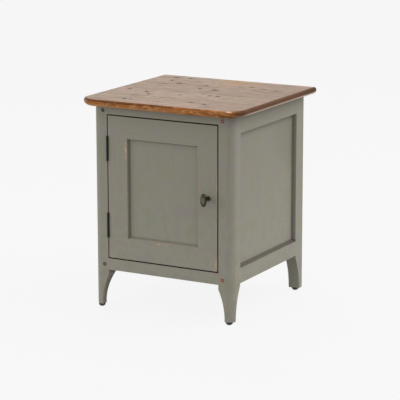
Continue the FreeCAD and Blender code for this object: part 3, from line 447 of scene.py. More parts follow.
@dataclass(frozen=True)
class Slit:
    """The narrow gap round a door, painted dark a little way in from its face: partly its bare
    edges, partly painted shade.

    lip is how far the dark reaches past the gap's walls and deep how far in it ends. mouth is the
    step in which it comes up behind the face, where it begins with mouth_share.
    """

    opening: Box
    share: float = 1
    lip: float = 0.0009
    deep: float = 0.014
    mouth: Fade = Fade(none=0.0002, full=0.0009)
    mouth_share: float = 0.6

    def faint(self) -> "Slit":
        """The same gap on the hinges' side, where it is nearly shut."""
        return replace(self, share=0.45, lip=0.0004)

    def dirt(self, graph: Graph, point: Signal) -> Signal:
        """The share of dark on the walls of the gap: bare edges and painted shade.

        Args:
            graph: The graph that the nodes go into.
            point: A point of the surface.

        Returns:
            A mask that is full behind the face of the door and ends at its depth.
        """
        x, _, z = self.opening.depths(graph, point)
        inside = x.at_most(z)
        walls = inside.fades(DOOR_GAP + HAIR, DOOR_GAP + self.lip)
        walls = walls * inside.fades(-HAIR, -self.lip)
        behind = graph.parts(point)[1] - self.opening.low[1]
        mouth = self.mouth.of(behind).at_least(self.mouth_share)
        return walls * mouth * behind.fades(self.deep / 2, self.deep) * self.share


@dataclass(frozen=True)
class Scar:
    """A small dark wound in the top, by its middle and its half sizes."""

    x: float
    y: float
    length: float = 0.006
    width: float = 0.006


@dataclass(frozen=True)
class Skin:
    """How a finish meets the light.

    roughness is what it has without its patterns, depth what a relief of 1 stands for in metres,
    strength the share of the relief that shows, gloss how strongly it mirrors and metallic the
    share of metal.
    """

    roughness: float
    depth: float
    strength: float = 0.5
    gloss: float = 0.5
    metallic: float = 0

    def cover(self, graph: Graph, tone: Signal, relief: Signal, rougher: Signal) -> None:
        """Ends the graph of a material in such a surface.

        Args:
            graph: The material's graph.
            tone: The colour.
            relief: The height of the surface, about 0 to 1.
            rougher: What the patterns add to the roughness.
        """
        inputs = {
            "Base Color": tone,
            "Metallic": self.metallic,
            "Roughness": rougher + self.roughness,
            "Specular IOR Level": self.gloss,
            "Normal": graph.bump(relief, self.depth, self.strength),
        }
        graph.end(graph.node("BsdfPrincipled", None, inputs))


# ---------------------------------------------------------------- finishes


class Finish:
    """A finish that is given to pieces, one material for each."""

    def lay(self, graph: Graph, node: str) -> None:
        """Draws the finish for one piece into its graph."""
        raise NotImplementedError

    def dress(self, piece: bpy.types.Object) -> None:
        """Makes the material for one piece and puts it into the piece's slots.

        Args:
            piece: The piece that gets the finish.
        """
        material = bpy.data.materials.new(f"{type(self).__name__}_{piece.name}")
        self.lay(Graph(material), piece.name)
        if not piece.material_slots:
            piece.data.materials.append(material)
        for place in piece.material_slots:
            place.material = material


@dataclass(frozen=True)
class WornPaint(Finish):
    """Brushed satin paint over wood, with painted shade in the hollows and wood at rubbed places.

    High up a share of painted shade darkens the paint, as under the top, and low down painted
    light makes it paler. edge_wear is how much of the wood shows along the edges. What begins
    with ragged is how far a pattern moves an edge, in metres.
    """

    along: Along
    # share of painted shade that darkens the paint high up, under the top
    dull: float = 0.01
    hollow: Hollow | None = None
    slit: Slit | None = None
    edge_wear: float = 0.5
    rubs: tuple[Patch, ...] = ()
    # patches of painted shade
    shade_patches: tuple[Patch, ...] = ()
    paint: Colour = shade(137, 135, 121)
    # dark brown of the dirt in the brush strokes and of the painted shade
    glaze: Colour = shade(58, 49, 36)
    # dark brown in the door's gap: bare edges and painted shade
    slit_tone: Colour = shade(48, 34, 22)
    wood: Colour = shade(220, 180, 138)
    strokes: Noise = Noise((9, 260, 260), detail=4, rough=0.6)
    clouds: Noise = Noise((11, 11, 11), detail=2)
    hues: Noise = Noise((22, 22, 22), detail=2, shift=(6.6, 2.2, 15.4))
    pores: Noise = Noise((28, 900, 900), detail=2)
    speckle: Noise = Noise((180, 300, 300), detail=4, rough=0.8)
    places: Noise = Noise((7, 7, 7), detail=1)
    cloud_wash: Wash = Wash(shade(139, 133, 119), Fade(none=0.34, full=0.7))
    # painted light: the paint paler low down
    low_wash: Wash = Wash(shade(151, 147, 134), Fade(none=0.5, full=0, share=0.8))
    moss_wash: Wash = Wash(shade(133, 136, 114), Fade(none=0.5, full=0.62, share=0.48))
    mauve_wash: Wash = Wash(shade(139, 132, 127), Fade(none=0.5, full=0.38, share=0.44))
    stroke_wash: Wash = Wash(shade(143, 140, 126), Fade(none=0.42, full=0.74, share=0.18))
    old_wood_wash: Wash = Wash(shade(164, 116, 80), Fade(none=0.36, full=0.66))
    stroke_dirt: Fade = Fade(none=0.5, full=0.3, share=0.06)
    # painted shade, growing towards the top
    high_dirt: Fade = Fade(none=0.1, full=0.52)
    # how dark the painted shade in a hollow is, round which the speckle moves it
    even_glaze: float = 0.9
    worn_edge: Fade = Fade(none=0.0014, full=0.0002)
    ragged_edge: float = 0.003
    worn_places: Fade = Fade(none=0.5, full=0.66)
    skin: Skin = Skin(roughness=0.46, depth=0.00035, gloss=0.35)

    def lay(self, graph: Graph, node: str) -> None:
        """Brush marks, cloudy tone, painted light low down, painted shade high up and in the
        hollow, worn edges and rubbed places.

        Args:
            graph: The material's graph.
            node: The piece's name.
        """
        point = graph.point()
        level = graph.parts(point)[2]
        strokes = self.strokes.turned(self.along).draw(graph, point)
        pores = self.pores.turned(self.along).draw(graph, point)
        speckle = self.speckle.turned(self.along).draw(graph, point) - 0.5
        hues = self.hues.draw(graph, point)
        tone = self.cloud_wash.over(graph, self.paint, self.clouds.draw(graph, point))
        tone = self.low_wash.over(graph, tone, level)
        tone = self.moss_wash.over(graph, tone, hues)
        tone = self.mauve_wash.over(graph, tone, hues)
        tone = self.stroke_wash.over(graph, tone, strokes)
        # dirt in the brush strokes, then painted shade high up, in the hollow and in the shade
        # patches
        dirt = self.stroke_dirt.of(strokes) + self.high_dirt.of(level) * self.dull
        if self.hollow is not None:
            dirt = dirt.at_least(self.hollow.dirt(graph, point) * (self.even_glaze + speckle))
        for shade_patch in self.shade_patches:
            dirt = dirt.at_least(shade_patch.mask(graph, point, speckle))
        tone = graph.mix(dirt, tone, self.glaze)
        bare = self._bare(graph, point, speckle, node)
        tone = graph.mix(bare, tone, self.old_wood_wash.over(graph, self.wood, strokes))
        # the door's gap painted dark: bare edges and painted shade
        if self.slit is not None:
            tone = graph.mix(self.slit.dirt(graph, point), tone, self.slit_tone)
        relief = strokes * 0.3 + pores * 0.3 - bare * 0.5
        self.skin.cover(graph, tone, relief, rougher=strokes * 0.14 + bare * 0.2)

    def _bare(self, graph: Graph, point: Signal, speckle: Signal, node: str) -> Signal:
        """The share of bare wood, along edges that a broad noise picks and at the rubs.

        Args:
            graph: The material's graph.
            point: A point of the surface.
            speckle: A pattern round 0 that breaks up the wear.
            node: The piece's name.

        Returns:
            A mask from 0 to 1.
        """
        edge = Box.of(node).from_edge(graph, point) + speckle * self.ragged_edge
        picked = self.worn_places.of(self.places.draw(graph, point))
        bare = self.worn_edge.of(edge) * picked * self.edge_wear
        for rub in self.rubs:
            bare = bare.at_least(rub.mask(graph, point, speckle))
        return bare


@dataclass(frozen=True)
class RoundedEdge:
    """The tone of the top's rounded edge.

    It is streaky and orange-brown along the front, with a dark line below the upper edge that is
    strongest on the left, and dark on the sides. Its lower round is paler, on the front and on
    the sides, as a painted reflection of the floor, and a painted highlight sits on the right
    front corner. The shares of the line, and of the painted reflection below it, are those on
    the left, short of the right corner and, for the line, anywhere. What begins with ragged is
    how much a pattern moves an edge.
    """

    tan: Colour = shade(173, 111, 59)
    pale: Colour = shade(212, 156, 110)
    dark: Colour = shade(86, 50, 24)
    side: Colour = shade(94, 62, 42)
    glint: Colour = shade(206, 172, 150)
    streaks: Noise = Noise((18, 60, 150), detail=5, rough=0.65, bend=1.2)
    mottle: Noise = Noise((70, 70, 190), rough=0.6)
    streak_wash: Wash = Wash(dark, Fade(none=0.6, full=0.38, share=0.6))
    mottle_wash: Wash = Wash(pale, Fade(none=-0.02, full=0.16, share=0.65))
    ragged_below: float = 0.006
    ragged_left: float = 0.2
    left: Fade = Fade(none=0.08, full=0.02)
    inward: Fade = Fade(none=0.2, full=0.14)
    line: Fade = Fade(none=0.0065, full=0.003)
    line_shares: tuple[float, float, float] = (0.45, 0.2, 0.15)
    corner_share: float = 0.25
    # painted reflection of the floor: the front's lower round paler below the line
    lower_front_reflection: Fade = Fade(none=0.0085, full=0.0145)
    lower_front_reflection_shares: tuple[float, float] = (0.4, 0.12)
    side_streak_wash: Wash = Wash(dark, Fade(none=0.6, full=0.4, share=0.5))
    back_wash: Wash = Wash(shade(66, 50, 18), Fade(none=0.12, full=0.03, share=0.7))
    # painted reflection of the floor on the lower round of the sides
    ragged_lower: float = 0.002
    lower: Fade = Fade(none=0.008, full=0.005)
    lower_from_front: Fade = Fade(none=0.005, full=0.085)
    lower_least: float = 0.35
    lower_share: float = 0.8
    # colour of the painted reflection on the sides' lower round
    side_low: Colour = shade(226, 198, 176)
    on_side: Fade = Fade(none=0.026, full=0.004)
    # painted highlight on the right front corner
    glint_patch: Patch = Patch((0.2032, -0.2153, 0.5485), (0.014, 0.010, 0.0026), grit=0.48)

    def tone(self, graph: Graph, box: Box, point: Signal) -> Signal:
        """Draws the edge's tone.

        Args:
            graph: The material's graph.
            box: The top's box.
            point: A point of the surface.

        Returns:
            The colour of the edge there.
        """
        x = graph.parts(point)[0]
        streaks = self.streaks.draw(graph, point)
        mottle = self.mottle.draw(graph, point) - 0.5
        front = self._front(graph, box, point, streaks, mottle)
        side = self._side(graph, box, point, streaks, mottle)
        rim = graph.mix(self.on_side.of(box.high[0] - x.size()), front, side)
        return graph.mix(self.glint_patch.mask(graph, point, mottle), rim, self.glint)

    def _front(
        self, graph: Graph, box: Box, point: Signal, streaks: Signal, mottle: Signal
    ) -> Signal:
        """The edge along the front.

        Args:
            graph: The material's graph.
            box: The top's box.
            point: A point of the surface.
            streaks: Streaks along the edge, from 0 to 1.
            mottle: Small clouds round 0.

        Returns:
            The colour of the edge if it is at the front.
        """
        x, _, z = graph.parts(point)
        front = self.streak_wash.over(graph, self.tan, streaks)
        front = self.mottle_wash.over(graph, front, mottle)
        below = (box.high[2] - z) + mottle * self.ragged_below
        left = self.left.of(x + (streaks - 0.5) * self.ragged_left)
        inward = self.inward.of(x)
        on_left, on_inward, anywhere = self.line_shares
        line = self.line.of(below) * (left * on_left + inward * on_inward + anywhere)
        front = graph.mix(line, front, self.dark)
        front = graph.mix((1 - inward) * self.corner_share, front, self.dark)
        # painted reflection of the floor on the lower round
        on_left, on_inward = self.lower_front_reflection_shares
        lower_front_reflection = self.lower_front_reflection.of(below) * (left * on_left + inward * on_inward)
        return graph.mix(lower_front_reflection, front, self.pale)

    def _side(
        self, graph: Graph, box: Box, point: Signal, streaks: Signal, mottle: Signal
    ) -> Signal:
        """The edge along the sides.

        Args:
            graph: The material's graph.
            box: The top's box.
            point: A point of the surface.
            streaks: Streaks along the edge, from 0 to 1.
            mottle: Small clouds round 0.

        Returns:
            The colour of the edge if it is at a side.
        """
        _, y, z = graph.parts(point)
        side = self.side_streak_wash.over(graph, self.side, streaks)
        side = self.back_wash.over(graph, side, box.high[1] - y)
        # painted reflection of the floor on the lower round
        lower = self.lower.of(z - box.low[2] + mottle * self.ragged_lower)
        lower = lower * self.lower_from_front.of(y - box.low[1]).at_least(self.lower_least)
        return graph.mix(lower * (self.lower_share + mottle * 0.5), side, self.side_low)


@dataclass(frozen=True)
class StainedTop(Finish):
    """Oiled reclaimed boards: grey-brown on top, orange-brown round the rounded edge.

    corner is the radius of the front corners, board a board's width, board_start where the first
    one begins along Y, board_shift how far the grain moves along X from one board to another, and
    joint the width of a joint. straighter is how much further out along X the curve of a corner
    begins. What begins with ragged is how much a pattern moves an edge.
    """

    scars: tuple[Scar, ...] = ()
    corner: float = 0.05
    board: float = 0.1
    board_start: float = -0.204
    board_shift: float = 3
    joint: float = 0.0022
    face: Colour = shade(154, 134, 119)
    streak: Colour = shade(120, 99, 82)
    pale: Colour = shade(166, 146, 131)
    glint: Colour = shade(206, 172, 150)
    honey: Colour = shade(172, 138, 99)
    mark: Colour = shade(46, 33, 27)
    clouds: Noise = Noise((8, 12, 8))
    broad: Noise = Noise((13, 34, 34), detail=6, rough=0.7, bend=1.6)
    knots: Noise = Noise((34, 46, 46), detail=5, rough=0.66, bend=0.8)
    grain: Noise = Noise((7, 120, 120), detail=6, rough=0.65, bend=0.4)
    dashes: Noise = Noise((26, 85, 85), detail=4, rough=0.7)
    pores: Noise = Noise((90, 900, 900), rough=0.6)
    spots: Noise = Noise((240, 150, 1), rough=0.6)
    joint_wear: Noise = Noise((22, 22, 22), rough=0.7)
    honey_patch: Patch = Patch((0.035, 0.150, 0.55), (0.11, 0.075, 0.05), 0.75, grit=3.36)
    pale_patch: Patch = Patch((0.035, -0.205, 0.55), (0.24, 0.080, 0.05), 0.3, grit=1.2)
    cloud_wash: Wash = Wash(shade(142, 133, 110), Fade(none=0.56, full=0.36, share=0.55))
    broad_washes: tuple[Wash, Wash] = (
        Wash(streak, Fade(none=0.48, full=0.68, share=0.55)),
        Wash(pale, Fade(none=0.48, full=0.32, share=0.5)),
    )
    knot_washes: tuple[Wash, Wash] = (
        Wash(shade(163, 130, 112), Fade(none=0.5, full=0.66, share=0.6)),
        Wash(streak, Fade(none=0.46, full=0.34, share=0.55)),
    )
    grain_washes: tuple[Wash, Wash] = (
        Wash(pale, Fade(none=0.45, full=0.66, share=0.35)),
        Wash(streak, Fade(none=0.5, full=0.34, share=0.35)),
    )
    dash_washes: tuple[Wash, Wash] = (
        Wash(shade(104, 74, 58), Fade(none=0.56, full=0.625, share=0.55)),
        Wash(glint, Fade(none=0.44, full=0.35, share=0.3)),
    )
    board_contrast: float = 0.3
    right_shade: Fade = Fade(none=-0.05, full=0.2, share=0.2)
    joint_core: float = 0.2
    joint_open: Fade = Fade(none=0.4, full=0.66, share=0.7)
    joint_least: float = 0.25
    ragged_scar: float = 2.2
    scar_halo: Wash = Wash(streak, Fade(none=2.2, full=0.6, share=0.5))
    scar_core: Fade = Fade(none=1.0, full=0.5, share=0.95)
    open_pores: Fade = Fade(none=0.64, full=0.74, share=0.5)
    face_depth: Fade = Fade(none=0.0006, full=0.0001)
    face_inset: Fade = Fade(none=0.0085, full=0.0105)
    ragged_inset: float = 0.008
    straighter: float = 0.003
    edge: RoundedEdge = RoundedEdge()
    skin: Skin = Skin(roughness=0.5, depth=0.0006, strength=0.6, gloss=0.05)

    def lay(self, graph: Graph, node: str) -> None:
        """Boards with their own tone, grain lines, dark scars and pores, then the rounded edge.

        Args:
            graph: The material's graph.
            node: The piece's name.
        """
        point = graph.point()
        box = Box.of(node)
        x, y, z = graph.parts(point)
        across = (y - self.board_start) / self.board
        own = graph.node("TexWhiteNoise", {"noise_dimensions": "1D"}, {"W": across.whole()})
        shifted = graph.join(x + own * self.board_shift, y, z)
        knots = self.knots.draw(graph, shifted)
        grain = self.grain.draw(graph, shifted)
        pores = self.pores.draw(graph, shifted)
        clouds = self.clouds.draw(graph, point)
        tone = self.cloud_wash.over(graph, self.face, clouds)
        tone = graph.mix(self.honey_patch.mask(graph, point, clouds - 0.5), tone, self.honey)
        tone = graph.mix(self.pale_patch.mask(graph, point, clouds - 0.5), tone, self.glint)
        layers = (
            (self.broad.draw(graph, shifted), self.broad_washes),
            (knots, self.knot_washes),
            (grain, self.grain_washes),
            (self.dashes.draw(graph, shifted), self.dash_washes),
        )
        for pattern, washes in layers:
            for wash in washes:
                tone = wash.over(graph, tone, pattern)
        own_shade = own * self.board_contrast + self.right_shade.of(x)
        tone = graph.mix(own_shade, tone, self.streak)
        scarred = self._scarred(graph, point, box.high[2])
        tone = self.scar_halo.over(graph, tone, scarred)
        dark = self._joints(graph, point, across).at_least(self.scar_core.of(scarred))
        dark = dark.at_least(self.open_pores.of(pores))
        tone = graph.mix(dark, tone, self.mark)
        inset = self._inset(graph, box, x, y) + (knots - 0.5) * self.ragged_inset
        top = self.face_depth.of(box.high[2] - z) * self.face_inset.of(inset)
        tone = graph.mix(top, self.edge.tone(graph, box, point), tone)
        relief = grain * 0.35 - dark * 0.8 - pores * 0.1
        rougher = dark * 0.25 - grain * 0.16 - (1 - top) * 0.1
        self.skin.cover(graph, tone, relief, rougher)

    def _joints(self, graph: Graph, point: Signal, across: Signal) -> Signal:
        """The dark joints between the boards, open in some places and nearly shut in others.

        Args:
            graph: The material's graph.
            point: A point of the surface.
            across: How many boards the point is from the first one's edge.

        Returns:
            The share of dark.
        """
        away = (across - (across + 0.5).whole()).size() * self.board
        wear = self.joint_open.of(self.joint_wear.draw(graph, point)) + self.joint_least
        return away.fades(self.joint * self.joint_core, self.joint) * wear

    def _scarred(self, graph: Graph, point: Signal, level: float) -> Signal:
        """How far a point is from the nearest scar.

        Args:
            graph: The material's graph.
            point: A point of the surface.
            level: Height of the face.

        Returns:
            The distance, about 1 at a scar's edge, roughened by a noise.
        """
        away = [
            graph.around(point, (scar.x, scar.y, level), (scar.length, scar.width, 1))
            for scar in self.scars
        ]
        spots = self.spots.draw(graph, point) - 0.5
        return reduce(Signal.at_most, away) + spots * self.ragged_scar

    def _inset(self, graph: Graph, box: Box, x: Signal, y: Signal) -> Signal:
        """How far a point of the face is inside its outline with the round front corners.

        Args:
            graph: The material's graph.
            box: The top's box.
            x: The point's X.
            y: The point's Y.

        Returns:
            The distance in metres.
        """
        beyond_x = (x.size() - (box.high[0] - self.corner + self.straighter)).at_least(0)
        beyond_y = ((box.low[1] + self.corner) - y).at_least(0)
        return self.corner - graph.length(graph.join(beyond_x, beyond_y, 0))


@dataclass(frozen=True)
class BareWood(Finish):
    """Planed wood without a coat, with growth rings and pores along its grain."""

    along: Along
    early: Colour = shade(205, 176, 134)
    late: Colour = shade(170, 133, 91)
    rings: Noise = Noise((3, 42, 42), detail=5, bend=0.8)
    pores: Noise = Noise((30, 700, 700), detail=2)
    ring_step: Fade = Fade(none=0.4, full=0.6)
    pore_step: Fade = Fade(none=0.6, full=0.68, share=0.35)
    skin: Skin = Skin(roughness=0.62, depth=0.0003)

    def lay(self, graph: Graph, node: str) -> None:
        """Rings from a stretched, bent noise, with fine pores over them.

        Args:
            graph: The material's graph.
            node: The piece's name.
        """
        point = graph.point()
        rings = self.rings.turned(self.along).draw(graph, point)
        pores = self.pores.turned(self.along).draw(graph, point)
        tone = Wash(self.late, self.ring_step).over(graph, self.early, rings)
        tone = Wash(self.late, self.pore_step).over(graph, tone, pores)
        self.skin.cover(graph, tone, relief=rings * 0.5 + pores * 0.4, rougher=rings * 0.15)


@dataclass(frozen=True)
class PegWood(Finish):
    """End grain of the joint pegs, each peg in a brown of its own, dark at its rim."""

    radius: float = 0.005
    top_left: Colour = shade(52, 34, 26)
    top_right: Colour = shade(140, 92, 82)
    bottom_left: Colour = shade(86, 82, 60)
    bottom_right: Colour = shade(154, 92, 70)
    rim: Colour = shade(46, 28, 22)
    halves: Fade = Fade(none=-0.01, full=0.01)
    speckle: Noise = Noise((900, 900, 900), detail=2)
    rim_shade: Fade = Fade(none=0.6, full=0.98, share=0.75)
    speckle_shade: Fade = Fade(none=0.45, full=0.65, share=0.2)
    skin: Skin = Skin(roughness=0.5, depth=0.0002)

    def lay(self, graph: Graph, node: str) -> None:
        """Picks the peg's colour by its corner and darkens it at the rim.

        Args:
            graph: The material's graph.
            node: The piece's name.
        """
        box = Box.of(node)
        point = graph.point()
        x, _, z = graph.parts(point)
        height = z - box.centre[2]
        right = self.halves.of(x)
        low_pair = graph.mix(right, self.bottom_left, self.bottom_right)
        high_pair = graph.mix(right, self.top_left, self.top_right)
        tone = graph.mix(self.halves.of(height), low_pair, high_pair)
        from_side = x.size() - (box.half[0] - self.radius)
        from_level = height.size() - (box.half[2] - self.radius)
        away = graph.length(graph.join(from_side, from_level, 0))
        speckle = self.speckle.draw(graph, point)
        worn = self.rim_shade.of(away / self.radius) + self.speckle_shade.of(speckle)
        tone = graph.mix(worn, tone, self.rim)
        self.skin.cover(graph, tone, relief=speckle, rougher=speckle * 0.2)


@dataclass(frozen=True)
class AgedMetal(Finish):
    """Metal with a cloudy tone, fine scratches and brighter rubbed edges.

    A polished place may be given, bright from hands and, where it faces the camera, a painted
    sheen; under_polish is the share of the other wear that stays on a piece with such a place.
    """

    tone: Colour
    rubbed: Colour
    metallic: float = 1
    roughness: float = 0.35
    depth: float = 0.00015
    strength: float = 0.6
    polish_and_sheen: Patch | None = None
    under_polish_and_sheen_share: float = 0.4
    clouds: Noise = Noise((90, 90, 90), detail=4, rough=0.6)
    scratches: Noise = Noise((300, 300, 2400), detail=2)
    cloud_wear: Fade = Fade(none=0.46, full=0.66, share=0.5)
    edge_wear: Fade = Fade(none=0.0012, full=0, share=0.6)

    def lay(self, graph: Graph, node: str) -> None:
        """Clouds of two tones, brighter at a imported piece's edges, with a fine grain.

        Args:
            graph: The material's graph.
            node: The piece's name.
        """
        point = graph.point()
        clouds = self.clouds.draw(graph, point)
        worn = self.cloud_wear.of(clouds)
        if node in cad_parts:
            worn = worn.at_least(self.edge_wear.of(Box.of(node).from_edge(graph, point)))
        # the polished place: hand polish and painted sheen
        if self.polish_and_sheen is not None:
            polish_and_sheen = self.polish_and_sheen.mask(graph, point, clouds - 0.5)
            worn = worn * self.under_polish_and_sheen_share + polish_and_sheen
        tone = graph.mix(worn, self.tone, self.rubbed)
        relief = clouds * 0.7 + self.scratches.draw(graph, point) * 0.3
        skin = Skin(self.roughness, self.depth, self.strength, metallic=self.metallic)
        skin.cover(graph, tone, relief, rougher=clouds * 0.16 - worn * 0.08)


@dataclass(frozen=True)
class MouldedPlastic(Finish):
    """Plastic with a fine even texture from its mould."""

    tone: Colour
    roughness: float = 0.45
    depth: float = 0.0001
    texture: Noise = Noise((900, 900, 900), detail=2)
    dust: Noise = Noise((60, 60, 60))
    dusty: Fade = Fade(none=0.5, full=0.7)
    dust_share: float = 0.4

    def lay(self, graph: Graph, node: str) -> None:
        """One tone with slight dust and a fine bumpy texture.

        Args:
            graph: The material's graph.
            node: The piece's name.
        """
        point = graph.point()
        dust = self.dusty.of(self.dust.draw(graph, point))
        paler = tuple(part * 0.8 + 0.05 for part in self.tone)
        tone = graph.mix(dust * self.dust_share, self.tone, paler)
        texture = self.texture.draw(graph, point)
        Skin(self.roughness, self.depth).cover(graph, tone, texture, rougher=dust * 0.15)


BRONZE = AgedMetal(shade(60, 54, 42), shade(104, 99, 84), metallic=0.85, roughness=0.26)
# darker than the knob's bronze: the hinges' own dark metal, with painted shadow beside the knuckles
HINGE_BRONZE = AgedMetal(shade(27, 24, 21), shade(52, 45, 37), metallic=0.5, roughness=0.5)
STEEL = AgedMetal(shade(168, 166, 160), shade(214, 212, 206), roughness=0.26)
MAGNET = AgedMetal(shade(60, 60, 62), shade(92, 92, 94), metallic=0.4, roughness=0.5)
PAD_PLASTIC = MouldedPlastic(shade(38, 38, 38))
CASE_PLASTIC = MouldedPlastic(shade(120, 84, 58), roughness=0.38)


# ---------------------------------------------------------------- pieces


class Body(Enum):
    """The two bodies that the hinge joins."""

    CARCASS = "carcass"
    DOOR = "door"


@dataclass
class SubAssembly:
    """A group of pieces that is dressed together."""

    def build(self) -> None:
        """Makes and dresses the pieces of the group."""
        raise NotImplementedError

    def dress(self, finish: Finish, *nodes: str) -> None:
        """Gives some pieces of the frame their finish and reports each.

        Args:
            finish: The finish.
            nodes: Names of the pieces.
        """
        for node in nodes:
            finish.dress(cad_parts[node])
            log.info("%s: %s in %s", type(self).__name__, node, type(finish).__name__)

    def add(
        self, name: str, points: np.ndarray, body: Body, slot: str, finish: Finish, *stands_for: str
    ) -> None:
        """Makes a piece from a closed grid of points and puts it on its body.

        Args:
            name: The piece's name.
            points: Rows of points, an array of rows by points by 3, closed round each row;
                the first and the last row shrink to their tips.
            body: The body that it moves with.
            slot: The record's slot that its finish belongs to; not used.
            finish: Its finish.
            stands_for: Nodes of the frame that it replaces.
        """
        rows, around, _ = points.shape
        starts = np.arange(rows - 1)[:, None] * around
        here, beside = starts + np.arange(around), starts + np.roll(np.arange(around), -1)
        faces = np.stack([here, beside, beside + around, here + around], axis=-1).reshape(-1, 4)
        mesh = bpy.data.meshes.new(name)
        mesh.from_pydata(points.reshape(-1, 3).tolist(), [], faces.tolist())
        mesh.update()
        mesh.shade_smooth()
        piece = bpy.data.objects.new(name, mesh)
        bpy.context.scene.collection.objects.link(piece)
        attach(piece, body.value)
        if stands_for:
            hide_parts(*stands_for)
        finish.dress(piece)
        log.info("%s: %s made, %d faces, on %s", type(self).__name__, name, len(faces), body.value)


@dataclass
class TableTop(SubAssembly):
    """The solid top with its rounded edge."""

    scars: tuple[Scar, ...] = (
        Scar(-0.173, 0.192, 0.009, 0.006),
        Scar(-0.132, 0.194, 0.007, 0.006),
        Scar(-0.158, 0.141),
        Scar(-0.118, 0.108, 0.009, 0.007),
        Scar(-0.192, -0.025, 0.007, 0.007),
        Scar(-0.127, -0.047, 0.007, 0.007),
        Scar(-0.104, -0.079),
        Scar(-0.037, 0.112, 0.006, 0.005),
        Scar(-0.026, 0.058, 0.007, 0.007),
        Scar(0.019, 0.053, 0.010, 0.008),
        Scar(0.051, -0.029),
        Scar(0.072, -0.029, 0.008, 0.007),
        Scar(0.055, -0.141, 0.010, 0.005),
        Scar(0.099, -0.149, 0.008, 0.006),
        Scar(0.084, 0.141),
        Scar(0.127, 0.124, 0.012, 0.005),
        Scar(0.164, 0.117, 0.011, 0.005),
        Scar(-0.122, -0.169, 0.008, 0.005),
        Scar(-0.105, -0.167, 0.005, 0.004),
        Scar(-0.026, -0.053, 0.006, 0.004),
        Scar(0.131, -0.004, 0.060, 0.0018),
        Scar(-0.155, 0.086, 0.034, 0.0020),
        Scar(-0.095, 0.106, 0.036, 0.0020),
    )

    def build(self) -> None:
        """Dresses the top."""
        self.dress(StainedTop(scars=self.scars), "table_top")


@dataclass
class Carcass(SubAssembly):
    """Posts, rails, panels, beads and pegs of the cupboard."""

    # painted shade over the upper back of the right side panel
    side_shade: Patch = Patch((0.19, 0.16, 0.46), (0.06, 0.22, 0.20), 0.17, grit=0.48)
    # painted shade on the lower part of the left front leg, mostly on its inner faces
    leg_shade: Patch = Patch((-0.165, -0.160, 0.050), (0.050, 0.040, 0.150), 0.5, grit=0.48)
    left_rubs: tuple[Patch, ...] = (
        Patch((-0.1725, -0.1905, 0.048), (0.003, 0.004, 0.026), 0.35),
    )
    back_rubs: tuple[Patch, ...] = (
        Patch((0.2015, 0.1790, 0.070), (0.004, 0.004, 0.040), 0.4),
    )
    right_rubs: tuple[Patch, ...] = (
        Patch((0.2015, -0.172, 0.128), (0.005, 0.007, 0.030), 0.3),
        Patch((0.187, -0.190, 0.050), (0.003, 0.004, 0.020), 0.5),
    )

    def build(self) -> None:
        """Dresses the carcass, each board by the way its grain runs."""
        self.dress(WornPaint(Along.Z), "back_left_post")
        self.dress(WornPaint(Along.Z, rubs=self.back_rubs), "back_right_post")
        self.front()
        self.dress(WornPaint(Along.X), "back_top_rail", "back_bottom_rail")
        for side in ("left", "right"):
            self.side(side)
        self.back()
        self.dress(PegWood(), "joint_pegs")

    def front(self) -> None:
        """Dresses the front posts and rails: painted shadow under the top, bare edges and painted
        shade in the door's gap.
        """
        left, right = Box.of("front_left_post"), Box.of("front_right_post")
        low, high = Box.of("front_bottom_rail").high[2], Box.of("front_top_rail").low[2]
        slit = Slit(Box((left.high[0], left.low[1], low), (right.low[0], left.high[1], high)))
        posts = Box.of("front_left_post", "front_right_post")
        # painted shadow under the top's edge, along the top of the posts and the rail
        under_top_shadow = Hollow(posts, Facing.FRONT, top=0.4, width=0.0045)
        left_paint = WornPaint(
            Along.Z,
            dull=0.05,
            hollow=under_top_shadow,
            slit=slit.faint(),
            edge_wear=0.2,
            rubs=self.left_rubs,
            shade_patches=(self.leg_shade,),
        )
        self.dress(left_paint, "front_left_post")
        right_paint = WornPaint(
            Along.Z, hollow=under_top_shadow, slit=slit, edge_wear=0.3, rubs=self.right_rubs
        )
        self.dress(right_paint, "front_right_post")
        self.dress(WornPaint(Along.X, hollow=under_top_shadow, slit=slit, edge_wear=0.12), "front_top_rail")
        self.dress(WornPaint(Along.X, slit=slit, edge_wear=0.12), "front_bottom_rail")

    def side(self, side: str) -> None:
        """Dresses the rails, the bead and the panel of one side.

        Args:
            side: Left or right, as the pieces' names say it.
        """
        self.dress(WornPaint(Along.Y, dull=0.06), f"{side}_top_rail", f"{side}_bottom_rail")
        bead = f"{side}_side_bead"
        # painted shade in the bead's hollow, strongest at the bottom
        groove = Hollow(
            Box.of(bead),
            Facing.SIDE,
            start=0.5,
            end=0.58,
            bottom=0.8,
            rises=(0.004, 0.001),
            full=0.0056,
            width=0.0075,
        )
        self.dress(WornPaint(Along.Z, hollow=groove, edge_wear=0.2, dull=0.06), bead)
        # painted shade round the panel's sunk edges
        sunk = Hollow(
            Box.of(bead), Facing.SIDE, start=0.5, end=0.4, bottom=0.7, full=0.005, width=0.010
        )
        panel_paint = WornPaint(
            Along.Z, dull=0.09, hollow=sunk, edge_wear=0, shade_patches=(self.side_shade,)
        )
        self.dress(panel_paint, f"{side}_side_panel")

    def back(self) -> None:
        """Dresses the back panel, with painted shade along the posts and the rails round it."""
        left, right = Box.of("back_left_post"), Box.of("back_right_post")
        low, high = Box.of("back_bottom_rail").high[2], Box.of("back_top_rail").low[2]
        opening = Box((left.high[0], left.low[1], low), (right.low[0], right.high[1], high))
        sunk = Hollow(opening, Facing.FRONT, start=0.5, end=0.5, bottom=0.5, top=0.3)
        self.dress(WornPaint(Along.Z, hollow=sunk, edge_wear=0), "back_panel")


